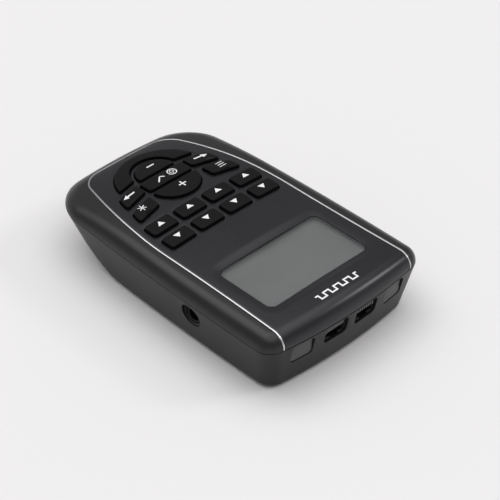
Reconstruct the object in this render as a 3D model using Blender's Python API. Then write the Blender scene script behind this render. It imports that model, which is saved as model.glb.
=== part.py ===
"""A handheld electrotherapy controller: case, face panel with display and sixteen keys, inner boards.

Frame: +X is the user's right, +Y points to the connector end, +Z comes out of the face. The origin is on
the back, in the middle. Dimensions below are in millimetres: points are scaled by MM as they become meshes.
"""

import math

import bmesh
import bpy
from mathutils import Vector

MM = 0.001

# Case, seen from the front
HALF_WIDTH = 49.5
HALF_LENGTH = 80.0
SIDE_CROWN = 0.0003
WIDEST_Y = 42.0
CONNECTOR_END_CROWN = 0.0018
KEYPAD_END_CROWN = 0.0015
CONNECTOR_CORNER = 7.0
KEYPAD_CORNER = 20.0

# Case, seen from the side
PART_Z = 26.0
FACE_Z = 35.0
FACE_CROWN = 2.1
FACE_DROP = 5.6
FACE_DROP_START = -20.0
SHOULDER = 7.1
WALL = 2.2
FLOOR = 3.0
SEAM_GAP = 0.3
SIDE_LEAN = 5.3
SIDE_ROUND = 3.0
CONNECTOR_LEAN = 5.6
KEYPAD_LEAN = 10.5
KEYPAD_ROUND = 14.0
KEYPAD_CORNER_GROWTH = 10.0

# Face panel and its bright outline
TRIM_HALF_WIDTH = 39.6
TRIM_FLARE = 0.00024
TRIM_TAPER = 0.0024
TRIM_FAR = 75.0
TRIM_CORNER = 9.0
TRIM_WIDTH = 0.8
TRIM_DEPTH = 0.6
TRIM_GAP = 0.12
PANEL_THICKNESS = 2.4
LEDGE_WIDTH = 2.2
LEDGE_THICKNESS = 1.2
PANEL_HEM = 0.12
PANEL_HEM_INNER = 2.6
SHELL_TUCK = 3.9
SHELL_TUCK_GROOVE = 5.0
SHELL_TUCK_LEDGE = 7.6
RIM_MARGIN = 0.35
LEDGE_Z = PART_Z + 1.6

# Display
WINDOW_Y = 42.0
WINDOW_HALF = (31.2, 17.4)
WINDOW_CORNER = 4.0
DISH_MARGIN = 5.2
DISH_DEPTH = 1.1
LENS_Z = (32.7, 33.6)
LCD_GLASS_Z = (28.6, 31.0)
LCD_FRAME_Z = (24.5, 28.3)

# Keys
KEY_PITCH = 17.97
KEY_SIZE = (14.6, 8.2)
KEY_ROWS = {"up": -5.3, "down": -17.3}
KEY_CORNER = 1.4
KEY_PROUD = 1.4
KEY_TRAVEL = 1.2
KEY_CLEARANCE = 0.35
KEY_FLANGE = 0.5
KEY_FLANGE_HEIGHT = 0.8
KEY_EDGE = 0.5
KEY_FOOT_Z = 26.7
MAT_Z = (24.5, 25.3)
CONTROL_BOARD_Z = (22.6, 24.2)
POWER_BOARD_Z = (11.5, 13.1)

# Connector end
SOCKET_X = 9.5
SOCKET_HALF_WIDTH = 6.85
SOCKET_Z = (15.6, 25.1)
SOCKET_DEPTH = 14.0
SOCKET_RECESS = 1.0
SOCKET_SHELL = 1.0
CONTACT_COUNT = 8
CONTACT_PITCH = 1.3
BLANK_X = 29.2
BLANK_HALF_WIDTH = 6.2
BLANK_Z = (14.5, 24.9)
BLANK_RECESS = 1.3
BLANK_FLANGE = 1.0
PORT_CORNER = 2.2
PORT_CUT_Y = (70.0, 85.0)

# Power inlet on the side
JACK_Y = 24.9
JACK_Z = 18.2
JACK_RING = 5.9
JACK_RING_DEPTH = 1.6
JACK_NOSE = 4.2
JACK_BORE = 3.15
JACK_PIN = 1.0
JACK_PIN_DEPTH = 5.0
JACK_BODY = (14.0, 9.6, 10.0)
JACK_BODY_SETBACK = 4.8

# Battery and fasteners
DOOR_HALF = (27.0, 29.0)
DOOR_Y = -24.0
DOOR_THICKNESS = 1.5
DOOR_LEDGE = 2.5
DOOR_CORNER = 3.0
CELL_RADIUS = 7.2
CELL_LENGTH = 50.0
CELL_COUNT = 4
SCREW_SPOTS = ((37.0, 61.0), (-37.0, 61.0), (34.5, -38.5), (-34.5, -38.5))
SCREW_HEAD = (2.8, 8.9, 10.7)
SCREW_SHANK = (1.2, 24.6)
SCREW_SINK = (3.1, 11.0)
SCREW_HOLE = 1.7
PILOT_RADIUS = 1.3
BOSS_RADIUS = 4.2
BOSS_FOOT = 1.0
BOSS_TOP = 17.0
POST_RADIUS = 3.0
POST_ARM = (7.0, 1.2)
DOOR_SCREW_Y = 8.5
DOOR_BOSS = (3.4, 9.0)
DOOR_TAB = (5.0, 6.0)
DOOR_TAB_CORNER = 2.0
BATTERY_END_Y = -8.0

# Boards
BOARD_WALL_GAP = 5.4
BOARD_NOTCH = (4.0, 20.0)
MAT_TRIM_GAP = 3.4
POWER_BOARD_CORNERS = ((41.0, 13.0), (41.0, 55.0), (31.0, 55.0), (31.0, 72.5))

RAY_COUNT = 64
RAY_SQUARENESS = 0.5
CORNER_RAY_SPREAD = 0.004
ROUND_STEPS = 20


# ---------------------------------------------------------------- scene and materials

def clear_scene():
    for item in list(bpy.data.objects):
        bpy.data.objects.remove(item, do_unlink=True)


def make_material(name, colour, roughness, metallic=0.0):
    material = bpy.data.materials.new(name)
    material.use_nodes = True
    shader = material.node_tree.nodes["Principled BSDF"]
    shader.inputs["Base Color"].default_value = (*colour, 1.0)
    shader.inputs["Roughness"].default_value = roughness
    shader.inputs["Metallic"].default_value = metallic
    material.diffuse_color = (*colour, 1.0)
    return material


def make_object(name, points, faces, material, origin=(0.0, 0.0, 0.0)):
    """A mesh object from points in millimetres, with its origin at the given point."""
    mesh = bpy.data.meshes.new(name)
    shifted = [[(p[k] - origin[k]) * MM for k in range(3)] for p in points]
    mesh.from_pydata(shifted, [], faces)
    mesh.update()
    build = bmesh.new()
    build.from_mesh(mesh)
    bmesh.ops.recalc_face_normals(build, faces=build.faces)
    build.to_mesh(mesh)
    build.free()
    mesh.materials.append(material)
    mesh.shade_smooth()
    mesh.set_sharp_from_angle(angle=math.radians(35))
    made = bpy.data.objects.new(name, mesh)
    made.location = [value * MM for value in origin]
    bpy.context.scene.collection.objects.link(made)
    return made


def make_cutter(name, points, faces):
    cutter = make_object(name, points, faces, MATERIALS["cutter"])
    cutter.hide_render = True
    cutter.display_type = "WIRE"
    return cutter


def add_boolean(target, tool, operation="DIFFERENCE"):
    modifier = target.modifiers.new(f"{operation.lower()} {tool.name}", "BOOLEAN")
    modifier.operation = operation
    modifier.object = tool
    modifier.solver = "EXACT"


# ---------------------------------------------------------------- lofts and outlines

def loft(rings, wrap=False):
    """Points and faces of a skin through rings of equal length. With wrap, the last ring meets the first."""
    size = len(rings[0])
    points = [point for ring in rings for point in ring]
    faces = []
    layers = len(rings) if wrap else len(rings) - 1
    for layer in range(layers):
        low = layer * size
        high = (layer + 1) % len(rings) * size
        for i in range(size):
            j = (i + 1) % size
            faces.append((low + i, low + j, high + j, high + i))
    if not wrap:
        faces.append(tuple(range(size)))
        faces.append(tuple(reversed(range(len(points) - size, len(points)))))
    return points, faces


def join_shapes(shapes):
    """One list of points and faces from several closed shapes that stay clear of each other."""
    points = []
    faces = []
    for shape_points, shape_faces in shapes:
        start = len(points)
        points += shape_points
        faces += [tuple(start + index for index in face) for face in shape_faces]
    return points, faces


def arc(centre, radii, start, end, steps):
    """Points of an elliptical arc, with angles in degrees."""
    result = []
    for k in range(steps + 1):
        angle = math.radians(start + (end - start) * k / steps)
        result.append((centre[0] + radii[0] * math.cos(angle), centre[1] + radii[1] * math.sin(angle)))
    return result


def rounded_rectangle(centre, half, radius, steps=3):
    corners = ((1, 1, 0), (-1, 1, 90), (-1, -1, 180), (1, -1, 270))
    result = []
    for sign_u, sign_v, start in corners:
        middle = (centre[0] + sign_u * (half[0] - radius), centre[1] + sign_v * (half[1] - radius))
        result += arc(middle, (radius, radius), start, start + 90, steps)
    return result


def round_corners(corners, radius, steps=3):
    """An outline with each sharp corner replaced by a curve that starts and ends radius away from it."""
    result = []
    count = len(corners)
    for i, corner in enumerate(corners):
        arriving = Vector(corner) - Vector(corners[i - 1])
        leaving = Vector(corners[(i + 1) % count]) - Vector(corner)
        if abs(arriving.angle_signed(leaving)) < math.radians(30):
            result.append(corner)
            continue
        sides = []
        for other in (corners[i - 1], corners[(i + 1) % count]):
            reach = math.dist(corner, other)
            share = min(radius, 0.45 * reach) / reach
            sides.append([corner[k] + (other[k] - corner[k]) * share for k in range(2)])
        for k in range(steps + 1):
            t = k / steps
            weights = ((1 - t) ** 2, 2 * t * (1 - t), t * t)
            result.append(tuple(
                weights[0] * sides[0][axis] + weights[1] * corner[axis] + weights[2] * sides[1][axis]
                for axis in range(2)
            ))
    return result


def offset_outline(outline, distance):
    """The outline moved outwards by distance. Outlines run anticlockwise."""
    result = []
    count = len(outline)
    for i, here in enumerate(outline):
        normals = []
        for a, b in ((outline[i - 1], here), (here, outline[(i + 1) % count])):
            length = math.dist(a, b)
            normals.append(((b[1] - a[1]) / length, (a[0] - b[0]) / length))
        mean = [normals[0][k] + normals[1][k] for k in range(2)]
        scale = 2.0 / (mean[0] ** 2 + mean[1] ** 2)
        result.append((here[0] + mean[0] * scale * distance, here[1] + mean[1] * scale * distance))
    return result


def prism(outline, low, high):
    """An outline in X and Y, extruded along Z."""
    return loft([[(x, y, low) for x, y in outline], [(x, y, high) for x, y in outline]])


def prism_along_y(outline, low, high):
    """An outline in X and Z, extruded along Y."""
    return loft([[(x, low, z) for x, z in outline], [(x, high, z) for x, z in outline]])


def box(low, high):
    outline = [(low[0], low[1]), (high[0], low[1]), (high[0], high[1]), (low[0], high[1])]
    return prism(outline, low[2], high[2])


def turned(profile, place, steps=ROUND_STEPS):
    """A closed turned shape. The profile gives (radius, distance) from one end of the axis to the other."""
    rings = []
    for radius, along in profile:
        rings.append([place(radius * math.cos(2 * math.pi * k / steps),
                            radius * math.sin(2 * math.pi * k / steps), along) for k in range(steps)])
    return loft(rings)


def upright(x, y):
    """Places a turned shape's points around a vertical axis."""
    return lambda u, v, w: (x + u, y + v, w)


def along_jack(u, v, w):
    """Places a turned shape's points around the power inlet's axis, which runs along X."""
    return w, JACK_Y + u, JACK_Z + v


# ---------------------------------------------------------------- the case's own curves

def rounded_max(a, b, radius):
    if a > -radius and b > -radius:
        return math.hypot(a + radius, b + radius) - radius
    return max(a, b)


def case_edge(x, y, z=PART_Z):
    """Below zero inside the case's outline at height z, and above zero outside it."""
    side = abs(x) - (HALF_WIDTH - wall_inset(z, SIDE_LEAN, SIDE_ROUND) - SIDE_CROWN * (y - WIDEST_Y) ** 2)
    near = y - (HALF_LENGTH - wall_inset(z, CONNECTOR_LEAN, SIDE_ROUND) - CONNECTOR_END_CROWN * x * x)
    far = -y - (HALF_LENGTH - wall_inset(z, KEYPAD_LEAN, KEYPAD_ROUND) - KEYPAD_END_CROWN * x * x)
    far_corner = KEYPAD_CORNER + KEYPAD_CORNER_GROWTH * max(0.0, 1 - z / PART_Z)
    return max(rounded_max(side, near, CONNECTOR_CORNER), rounded_max(side, far, far_corner))


def wall_inset(z, lean, fillet):
    """How far in from the seam's outline the wall is at height z."""
    inset = lean * max(0.0, 1 - z / PART_Z)
    if z < fillet:
        inset += fillet - math.sqrt(fillet ** 2 - (fillet - z) ** 2)
    return inset


def trim_edge(x, y):
    """Below zero inside the bright outline, which is open towards the connector end."""
    half_width = TRIM_HALF_WIDTH + (TRIM_FLARE if y > 0 else -TRIM_TAPER) * y * y
    return rounded_max(abs(x) - half_width, -y - TRIM_FAR, TRIM_CORNER)


def face_top(x, y):
    """Height of the face's crown, before the shoulder rolls down."""
    drop = max(0.0, (FACE_DROP_START - y) / (HALF_LENGTH + FACE_DROP_START))
    return FACE_Z - FACE_CROWN * (x / HALF_WIDTH) ** 2 - FACE_DROP * drop ** 2


def face_height(x, y, depth=0.0):
    """Height of the front skin above a point, or of the skin parallel to it at that depth."""
    inset = -case_edge(x, y) - depth
    share = min(1.0, max(0.0, (SHOULDER - inset) / SHOULDER))
    return PART_Z - depth + (face_top(x, y) - PART_Z) * math.sqrt(1 - share ** 2)


def ray_angles():
    """Directions from the middle of the case, closer together towards its corners."""
    angles = []
    for k in range(RAY_COUNT):
        turn = 2 * math.pi * k / RAY_COUNT
        across = math.copysign(abs(math.cos(turn)) ** RAY_SQUARENESS, math.cos(turn)) * HALF_WIDTH
        along = math.copysign(abs(math.sin(turn)) ** RAY_SQUARENESS, math.sin(turn)) * HALF_LENGTH
        angles.append(math.atan2(along, across))
    crossing = trim_crossing_angle()
    for spread in (-1, 1, 4):
        angle = crossing + spread * CORNER_RAY_SPREAD
        angles += [angle, math.pi - angle]
    return sorted(angle % (2 * math.pi) for angle in angles)


def trim_crossing_angle():
    """Direction in which the bright outline runs over the case's rim, at the connector end."""
    low = math.atan2(HALF_LENGTH / 2, HALF_WIDTH)
    high = math.pi / 2
    for _ in range(40):
        middle = (low + high) / 2
        if trim_edge(*trace(case_edge, [middle])[0]) < 0:
            high = middle
        else:
            low = middle
    return low


def trace(edge, angles):
    """Where each ray from the middle crosses the edge function's zero line."""
    outline = []
    for angle in angles:
        low = 0.0
        high = 2 * HALF_LENGTH
        for _ in range(40):
            middle = (low + high) / 2
            if edge(middle * math.cos(angle), middle * math.sin(angle)) < 0:
                low = middle
            else:
                high = middle
        outline.append((low * math.cos(angle), low * math.sin(angle)))
    return outline


def case_ring(z, inset=0.0):
    return [(x, y, z) for x, y in trace(lambda x, y: case_edge(x, y, z) + inset, RAYS)]


def panel_outline(side_inset, rim_inset):
    """Plan outline that follows the bright trim, and the case's rim at the connector end."""
    return trace(lambda x, y: max(trim_edge(x, y) + side_inset, case_edge(x, y) + rim_inset), RAYS)


def connector_wall_y(x, z):
    return HALF_LENGTH - wall_inset(z, CONNECTOR_LEAN, SIDE_ROUND) - CONNECTOR_END_CROWN * x * x


def side_wall_x(y, z):
    return HALF_WIDTH - wall_inset(z, SIDE_LEAN, SIDE_ROUND) - SIDE_CROWN * (y - WIDEST_Y) ** 2


# ---------------------------------------------------------------- rear case

def port_outline(centre_x, half_width, low, high):
    """A port's opening in X and Z."""
    return rounded_rectangle((centre_x, (low + high) / 2), (half_width, (high - low) / 2), PORT_CORNER, 4)


def make_rear_shell():
    outer_levels = (0.0, 0.9, 3.0, 6.5, 11.0, 17.0, PART_Z)
    inner_levels = (PART_Z, 20.0, 12.0, 7.0, FLOOR)
    rings = [case_ring(z) for z in outer_levels] + [case_ring(z, WALL) for z in inner_levels]
    shell = make_object("rear_shell", *loft(rings), MATERIALS["case"])
    bosses = []
    for x, y in SCREW_SPOTS:
        bosses.append(turned(((BOSS_RADIUS, BOSS_FOOT), (BOSS_RADIUS, BOSS_TOP)), upright(x, y)))
    radius, top = DOOR_BOSS
    bosses.append(turned(((radius, BOSS_FOOT), (radius, top)), upright(0.0, DOOR_SCREW_Y)))
    add_boolean(shell, make_cutter("rear_bosses", *join_shapes(bosses)), "UNION")

    sink_radius, sink_top = SCREW_SINK
    sink = ((sink_radius, -1.0), (sink_radius, sink_top), (SCREW_HOLE, sink_top),
            (SCREW_HOLE, BOSS_TOP + 1.0))
    cuts = [turned(sink, upright(x, y), 16) for x, y in SCREW_SPOTS]
    ledge = (DOOR_HALF[0] - DOOR_LEDGE, DOOR_HALF[1] - DOOR_LEDGE)
    cuts.append(prism(rounded_rectangle((0.0, DOOR_Y), ledge, DOOR_CORNER), 0.5, FLOOR + 1.0))
    for side in (-1, 1):
        cuts.append(prism_along_y(port_outline(side * SOCKET_X, SOCKET_HALF_WIDTH, *SOCKET_Z), *PORT_CUT_Y))
        cuts.append(prism_along_y(port_outline(side * BLANK_X, BLANK_HALF_WIDTH, *BLANK_Z), *PORT_CUT_Y))
    face_x = side_wall_x(JACK_Y, JACK_Z)
    nose_hole = JACK_NOSE + SEAM_GAP
    ring_floor = face_x - JACK_RING_DEPTH
    cuts.append(turned(((nose_hole, 40.0), (nose_hole, ring_floor), (JACK_RING, ring_floor),
                        (JACK_RING, face_x + 4.0)), along_jack, 24))
    add_boolean(shell, make_cutter("rear_cuts", *join_shapes(cuts)))

    recess_top = DOOR_THICKNESS + SEAM_GAP
    tab_centre = (0.0, DOOR_SCREW_Y - 1.5)
    recess = [prism(rounded_rectangle((0.0, DOOR_Y), DOOR_HALF, DOOR_CORNER), -1.0, recess_top),
              prism(rounded_rectangle(tab_centre, DOOR_TAB, DOOR_TAB_CORNER), -1.0, recess_top + 0.01)]
    for number, shape in enumerate(recess):
        add_boolean(shell, make_cutter(f"door_recess_{number + 1}", *shape))
    pilot = turned(((PILOT_RADIUS, -1.0), (PILOT_RADIUS, 7.0)), upright(0.0, DOOR_SCREW_Y), 12)
    add_boolean(shell, make_cutter("door_pilot", *pilot))


def make_battery_door():
    """The door, its screw tab and five finger grooves across its far end."""
    half = [value - SEAM_GAP for value in DOOR_HALF]
    body = prism(rounded_rectangle((0.0, DOOR_Y), half, DOOR_CORNER - SEAM_GAP), 0.0, DOOR_THICKNESS)
    door = make_object("battery_door", *body, MATERIALS["case"])
    tab_half = [value - SEAM_GAP for value in DOOR_TAB]
    tab = rounded_rectangle((0.0, DOOR_SCREW_Y - 1.5), tab_half, DOOR_TAB_CORNER - SEAM_GAP)
    add_boolean(door, make_cutter("door_tab", *prism(tab, 0.0, DOOR_THICKNESS + 0.01)), "UNION")
    sink = ((3.0, -1.0), (3.0, 0.0), (1.6, 1.0), (1.6, 3.0))
    cuts = [turned(sink, upright(0.0, DOOR_SCREW_Y), 16)]
    for k in range(5):
        y = -46.0 + 2.4 * k
        cuts.append(box((-8.0, y, -1.0), (8.0, y + 1.0, 0.5)))
    add_boolean(door, make_cutter("door_cuts", *join_shapes(cuts)))


# ---------------------------------------------------------------- front case, panel and trim

def make_front_shell():
    rim = trace(case_edge, RAYS)
    tucked = trace(lambda x, y: case_edge(x, y) + SHELL_TUCK, RAYS)
    groove = panel_outline(-TRIM_GAP, RIM_MARGIN)
    tucked_groove = panel_outline(-TRIM_GAP, SHELL_TUCK_GROOVE)
    ledge = panel_outline(LEDGE_WIDTH, SHELL_TUCK_LEDGE)
    floor_depth = PANEL_THICKNESS + 2 * SEAM_GAP
    under_depth = floor_depth + LEDGE_THICKNESS
    shares = (0.06, 0.16, 0.3, 0.5, 0.75, 1.0)
    floor_shares = (0.0, 0.25, 0.55, 1.0)
    rings = [[] for _ in range(len(shares) + len(floor_shares) + 5)]
    for start, tuck, edge, tuck_edge, inner in zip(rim, tucked, groove, tucked_groove, ledge):
        covered = trim_edge(*start) < 0
        outer = tuck if covered else start
        edge = tuck_edge if covered else edge
        section = [(*outer, PART_Z + SEAM_GAP)]
        for share in shares:
            reach = 0.8 * share if covered else share
            spot = [outer[k] + (edge[k] - outer[k]) * reach for k in range(2)]
            section.append((*spot, face_height(*spot, floor_depth if covered else 0.0)))
        for share in floor_shares:
            spot = [edge[k] + (inner[k] - edge[k]) * share for k in range(2)]
            section.append((*spot, max(LEDGE_Z, face_height(*spot, floor_depth))))
        scale = 1 - (WALL + 0.2) / math.hypot(*outer)
        wall = [outer[k] * scale for k in range(2)]
        below = [(inner[k] + wall[k]) / 2 for k in range(2)] if covered else edge
        under = face_height(*inner, under_depth)
        wall_top = max(PART_Z + 2 * SEAM_GAP, min(face_height(*wall, 1.5), under))
        lowest = PART_Z + 2 * SEAM_GAP
        below_z = under if covered else max(lowest, min(under, face_height(*below, under_depth)))
        section += [(*inner, under), (*below, below_z)]
        section += [(*wall, wall_top), (*wall, PART_Z + SEAM_GAP)]
        for ring, point in zip(rings, section):
            ring.append(point)
    shell = make_object("front_shell", *loft(rings, wrap=True), MATERIALS["case"])
    posts = []
    arms = []
    reach, thickness = POST_ARM
    for x, y in SCREW_SPOTS:
        top = face_height(x, y, under_depth) + 0.6
        posts.append(turned(((POST_RADIUS, BOSS_TOP + SEAM_GAP), (POST_RADIUS, top)), upright(x, y), 16))
        tip = x + math.copysign(reach, x)
        arms.append(box((min(x, tip), y - thickness, PART_Z + 1.0), (max(x, tip), y + thickness, top - 0.5)))
    add_boolean(shell, make_cutter("front_posts", *join_shapes(posts)), "UNION")
    add_boolean(shell, make_cutter("front_arms", *join_shapes(arms)), "UNION")
    pilot = ((PILOT_RADIUS, BOSS_TOP - 7.0), (PILOT_RADIUS, PART_Z))
    pilots = [turned(pilot, upright(x, y), 12) for x, y in SCREW_SPOTS]
    add_boolean(shell, make_cutter("front_pilots", *join_shapes(pilots)))


def panel_rings(outline, depth, shares):
    rings = []
    for share in shares:
        ring = []
        for x, y in outline:
            height = face_height(x * share, y * share, depth)
            ring.append((x * share, y * share, max(LEDGE_Z + SEAM_GAP, height)))
        rings.append(ring)
    return rings


def make_face_panel():
    top_outline = panel_outline(TRIM_WIDTH + TRIM_GAP, PANEL_HEM)
    under_outline = panel_outline(TRIM_WIDTH + TRIM_GAP + SEAM_GAP, PANEL_HEM_INNER)
    top = panel_rings(top_outline, 0.0, (1.0, 0.985, 0.96, 0.93, 0.9, 0.7, 0.4))
    under = panel_rings(under_outline, PANEL_THICKNESS, (1.0, 0.985, 0.96, 0.93, 0.8, 0.5))
    hem = []
    for i, point in enumerate(trace(case_edge, RAYS)):
        wraps = trim_edge(*point) < -1.0
        low = PART_Z + SEAM_GAP if wraps else min(top[0][i][2] - 0.8, max(LEDGE_Z + 0.8, under[0][i][2]))
        under[0][i] = (*under_outline[i], low)
        hem.append((*top_outline[i], low if wraps else (low + top[0][i][2]) / 2))
    panel = make_object("face_panel", *loft(top[::-1] + [hem] + under), MATERIALS["panel"])
    low = FACE_Z - DISH_DEPTH
    centre = (0.0, WINDOW_Y)
    levels = ((0.0, low), (DISH_MARGIN / 3, low + 0.45), (DISH_MARGIN, FACE_Z + 0.3))
    dish = []
    for margin, height in levels:
        half = [value + margin for value in WINDOW_HALF]
        dish.append([(x, y, height) for x, y in rounded_rectangle(centre, half, WINDOW_CORNER + margin)])
    add_boolean(panel, make_cutter("window_dish", *loft(dish)))
    window = rounded_rectangle(centre, [value - 0.05 for value in WINDOW_HALF], WINDOW_CORNER)
    cuts = [prism(window, 20.0, 40.0)]
    cuts += [prism(offset_outline(outline, KEY_CLEARANCE), 20.0, 40.0) for outline in KEY_OUTLINES.values()]
    add_boolean(panel, make_cutter("panel_openings", *join_shapes(cuts)))


def make_trim():
    """A bright strip standing on edge between the panel and the shell, around three sides of the panel."""
    outer = panel_outline(0.0, 0.0)
    inner = panel_outline(TRIM_WIDTH, 0.0)
    sections = []
    for a, b in zip(outer, inner):
        if case_edge(*a) > -RIM_MARGIN or case_edge(*b) > -RIM_MARGIN:
            sections.append(None)
            continue
        sections.append([(*a, face_height(*a)), (*b, face_height(*b)),
                         (*b, max(LEDGE_Z + 0.3, face_height(*b, PANEL_THICKNESS))),
                         (*a, max(LEDGE_Z + 0.3, face_height(*a, PANEL_THICKNESS)))])
    first = max(i for i in range(len(sections)) if sections[i] is None) + 1
    ordered = sections[first:] + sections[:first]
    make_object("bright_trim", *loft([section for section in ordered if section]), MATERIALS["bright"])


def make_display():
    half = [value - SEAM_GAP for value in WINDOW_HALF]
    lens = rounded_rectangle((0.0, WINDOW_Y), half, WINDOW_CORNER - SEAM_GAP)
    make_object("display_lens", *prism(lens, *LENS_Z), MATERIALS["lens"])
    glass = rounded_rectangle((0.0, WINDOW_Y), [value + 1.6 for value in WINDOW_HALF], 0.6, 1)
    make_object("lcd_glass", *prism(glass, *LCD_GLASS_Z), MATERIALS["lcd"])
    frame = rounded_rectangle((0.0, WINDOW_Y), [value + 2.4 for value in WINDOW_HALF], 0.8, 1)
    make_object("lcd_backlight", *prism(frame, *LCD_FRAME_Z), MATERIALS["white_plastic"])


# ---------------------------------------------------------------- keys

def mirrored(outline):
    """The outline on the other side of X = 0, still anticlockwise."""
    return [(-x, y) for x, y in reversed(outline)]


def key_outlines():
    outlines = {}
    for number in range(4):
        x = (number - 1.5) * KEY_PITCH
        for row, y in KEY_ROWS.items():
            half = [size / 2 for size in KEY_SIZE]
            outlines[f"key_{row}_{number + 1}"] = rounded_rectangle((x, y), half, KEY_CORNER, 3)
    arrow = round_corners([(14.9, -49.2), (27.6, -46.2), (29.4, -37.9), (15.0, -41.8)], 1.6)
    option = round_corners([(16.8, -37.5), (30.6, -33.2), (32.0, -26.0), (17.3, -29.4)], 1.6)
    outlines["key_forward"] = arrow
    outlines["key_back"] = mirrored(arrow)
    outlines["key_star"] = option
    outlines["key_info"] = mirrored(option)
    outlines["key_confirm"] = rounded_rectangle((0.0, -44.2), (13.3, 4.2), 1.8, 3)
    outlines["key_plus"] = round_corners(arc((0.0, -37.9), (13.3, 11.9), 0, 180, 14), 1.4, 2)
    outlines["key_minus"] = round_corners(arc((0.0, -50.4), (10.7, 10.8), 180, 360, 14), 1.4, 2)
    outer = arc((0.0, -45.0), (23.8, 24.3), 194, 346, 18)
    inner = arc((0.0, -50.6), (12.9, 13.6), 350, 190, 12)
    outlines["key_menu"] = round_corners(outer + inner, 1.2, 2)
    return outlines


def make_key(name, outline):
    centre = [sum(point[k] for point in outline) / len(outline) for k in range(2)]
    flange = offset_outline(outline, KEY_FLANGE)
    flange_top = min(face_height(x, y, PANEL_THICKNESS) for x, y in flange) - SEAM_GAP
    flange_low = flange_top - KEY_FLANGE_HEIGHT
    rim = [(x, y, face_height(x, y) + KEY_PROUD - KEY_EDGE) for x, y in outline]
    top = [(x, y, face_height(x, y) + KEY_PROUD) for x, y in offset_outline(outline, -KEY_EDGE)]
    rings = [[(x, y, KEY_FOOT_Z) for x, y in outline]]
    rings += [[(x, y, level) for x, y in edge] for edge, level in
              ((outline, flange_low), (flange, flange_low), (flange, flange_top), (outline, flange_top))]
    make_object(name, *loft(rings + [rim, top]), MATERIALS["key"], (*centre, flange_low))


# ---------------------------------------------------------------- connector end

def make_ports():
    for side, word in ((-1, "left"), (1, "right")):
        x = side * SOCKET_X
        low, high = SOCKET_Z
        front = connector_wall_y(x, low) - SOCKET_RECESS
        back = front - SOCKET_DEPTH
        half = SOCKET_HALF_WIDTH - SEAM_GAP
        seat = connector_wall_y(x, POWER_BOARD_Z[1]) - WALL - 2 * SEAM_GAP
        side_x = half + 0.9
        block = box((x - side_x, back, POWER_BOARD_Z[1] + SEAM_GAP), (x + side_x, seat, high + 0.8))
        body = make_object(f"output_socket_{word}", *block, MATERIALS["socket"])
        outline = offset_outline(port_outline(x, SOCKET_HALF_WIDTH, low, high), -SEAM_GAP)
        mouth = [(u, connector_wall_y(u, v) - SOCKET_RECESS, v) for u, v in outline]
        nose = loft([[(u, seat - 2.0, v) for u, v in outline], mouth])
        add_boolean(body, make_cutter(f"socket_nose_{word}", *nose), "UNION")
        inner = half - SOCKET_SHELL
        cavity = (low + SOCKET_SHELL, high - SOCKET_SHELL)
        hollow = box((x - inner, back + 1.5, cavity[0] + 0.5), (x + inner, HALF_LENGTH, cavity[1]))
        slot = box((x - 2.6, back + 5.0, cavity[0] - 0.4), (x + 2.6, HALF_LENGTH, cavity[0] + 1.2))
        add_boolean(body, make_cutter(f"socket_hollow_{word}", *hollow))
        add_boolean(body, make_cutter(f"socket_slot_{word}", *slot))
        make_contacts(f"socket_contacts_{word}", x, (back + 1.8, front - 1.0), cavity[1] - SEAM_GAP)

        make_blank(f"port_blank_{word}", side * BLANK_X)


def make_blank(name, x):
    """A plate in an unused port, with a flange behind the wall. Both follow the wall's bow and lean."""
    port = port_outline(x, BLANK_HALF_WIDTH, *BLANK_Z)
    plate = offset_outline(port, -SEAM_GAP)
    flange = offset_outline(port, BLANK_FLANGE)
    seat = WALL + SEAM_GAP + 0.1
    rings = []
    steps = ((flange, seat + BLANK_FLANGE), (flange, seat), (plate, seat), (plate, BLANK_RECESS))
    for outline, depth in steps:
        rings.append([(u, connector_wall_y(u, v) - depth, v) for u, v in outline])
    make_object(name, *loft(rings), MATERIALS["blank"])


def make_contacts(name, x, reach, top):
    """Sprung contacts on one moulded comb, seen along Y as a bar with teeth."""
    half = CONTACT_COUNT * CONTACT_PITCH / 2
    outline = [(x + half, top), (x - half, top), (x - half, top - 0.7)]
    for k in range(CONTACT_COUNT):
        middle = x + (k - (CONTACT_COUNT - 1) / 2) * CONTACT_PITCH
        for u, v in ((-0.4, 0.7), (-0.4, 1.6), (0.4, 1.6), (0.4, 0.7)):
            outline.append((middle + u, top - v))
    outline.append((x + half, top - 0.7))
    make_object(name, *prism_along_y(outline, *reach), MATERIALS["contact"])


def make_power_inlet():
    face_x = side_wall_x(JACK_Y, JACK_Z)
    tip = face_x - JACK_RING_DEPTH - 0.1
    length, width, height = JACK_BODY
    foot = POWER_BOARD_Z[1] + SEAM_GAP
    low = (face_x - length, JACK_Y - width / 2, foot)
    high = (face_x - JACK_BODY_SETBACK, JACK_Y + width / 2, foot + height)
    body = make_object("power_inlet", *box(low, high), MATERIALS["socket"])
    nose = turned(((JACK_NOSE, low[0] + 2.0), (JACK_NOSE, tip)), along_jack)
    add_boolean(body, make_cutter("inlet_nose", *nose), "UNION")
    floor = low[0] + 1.5
    pin_tip = face_x - JACK_PIN_DEPTH
    profile = ((JACK_BORE, tip + 1.0), (JACK_BORE, floor), (JACK_PIN, floor), (JACK_PIN, pin_tip))
    add_boolean(body, make_cutter("inlet_bore", *turned(profile, along_jack)))


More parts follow.
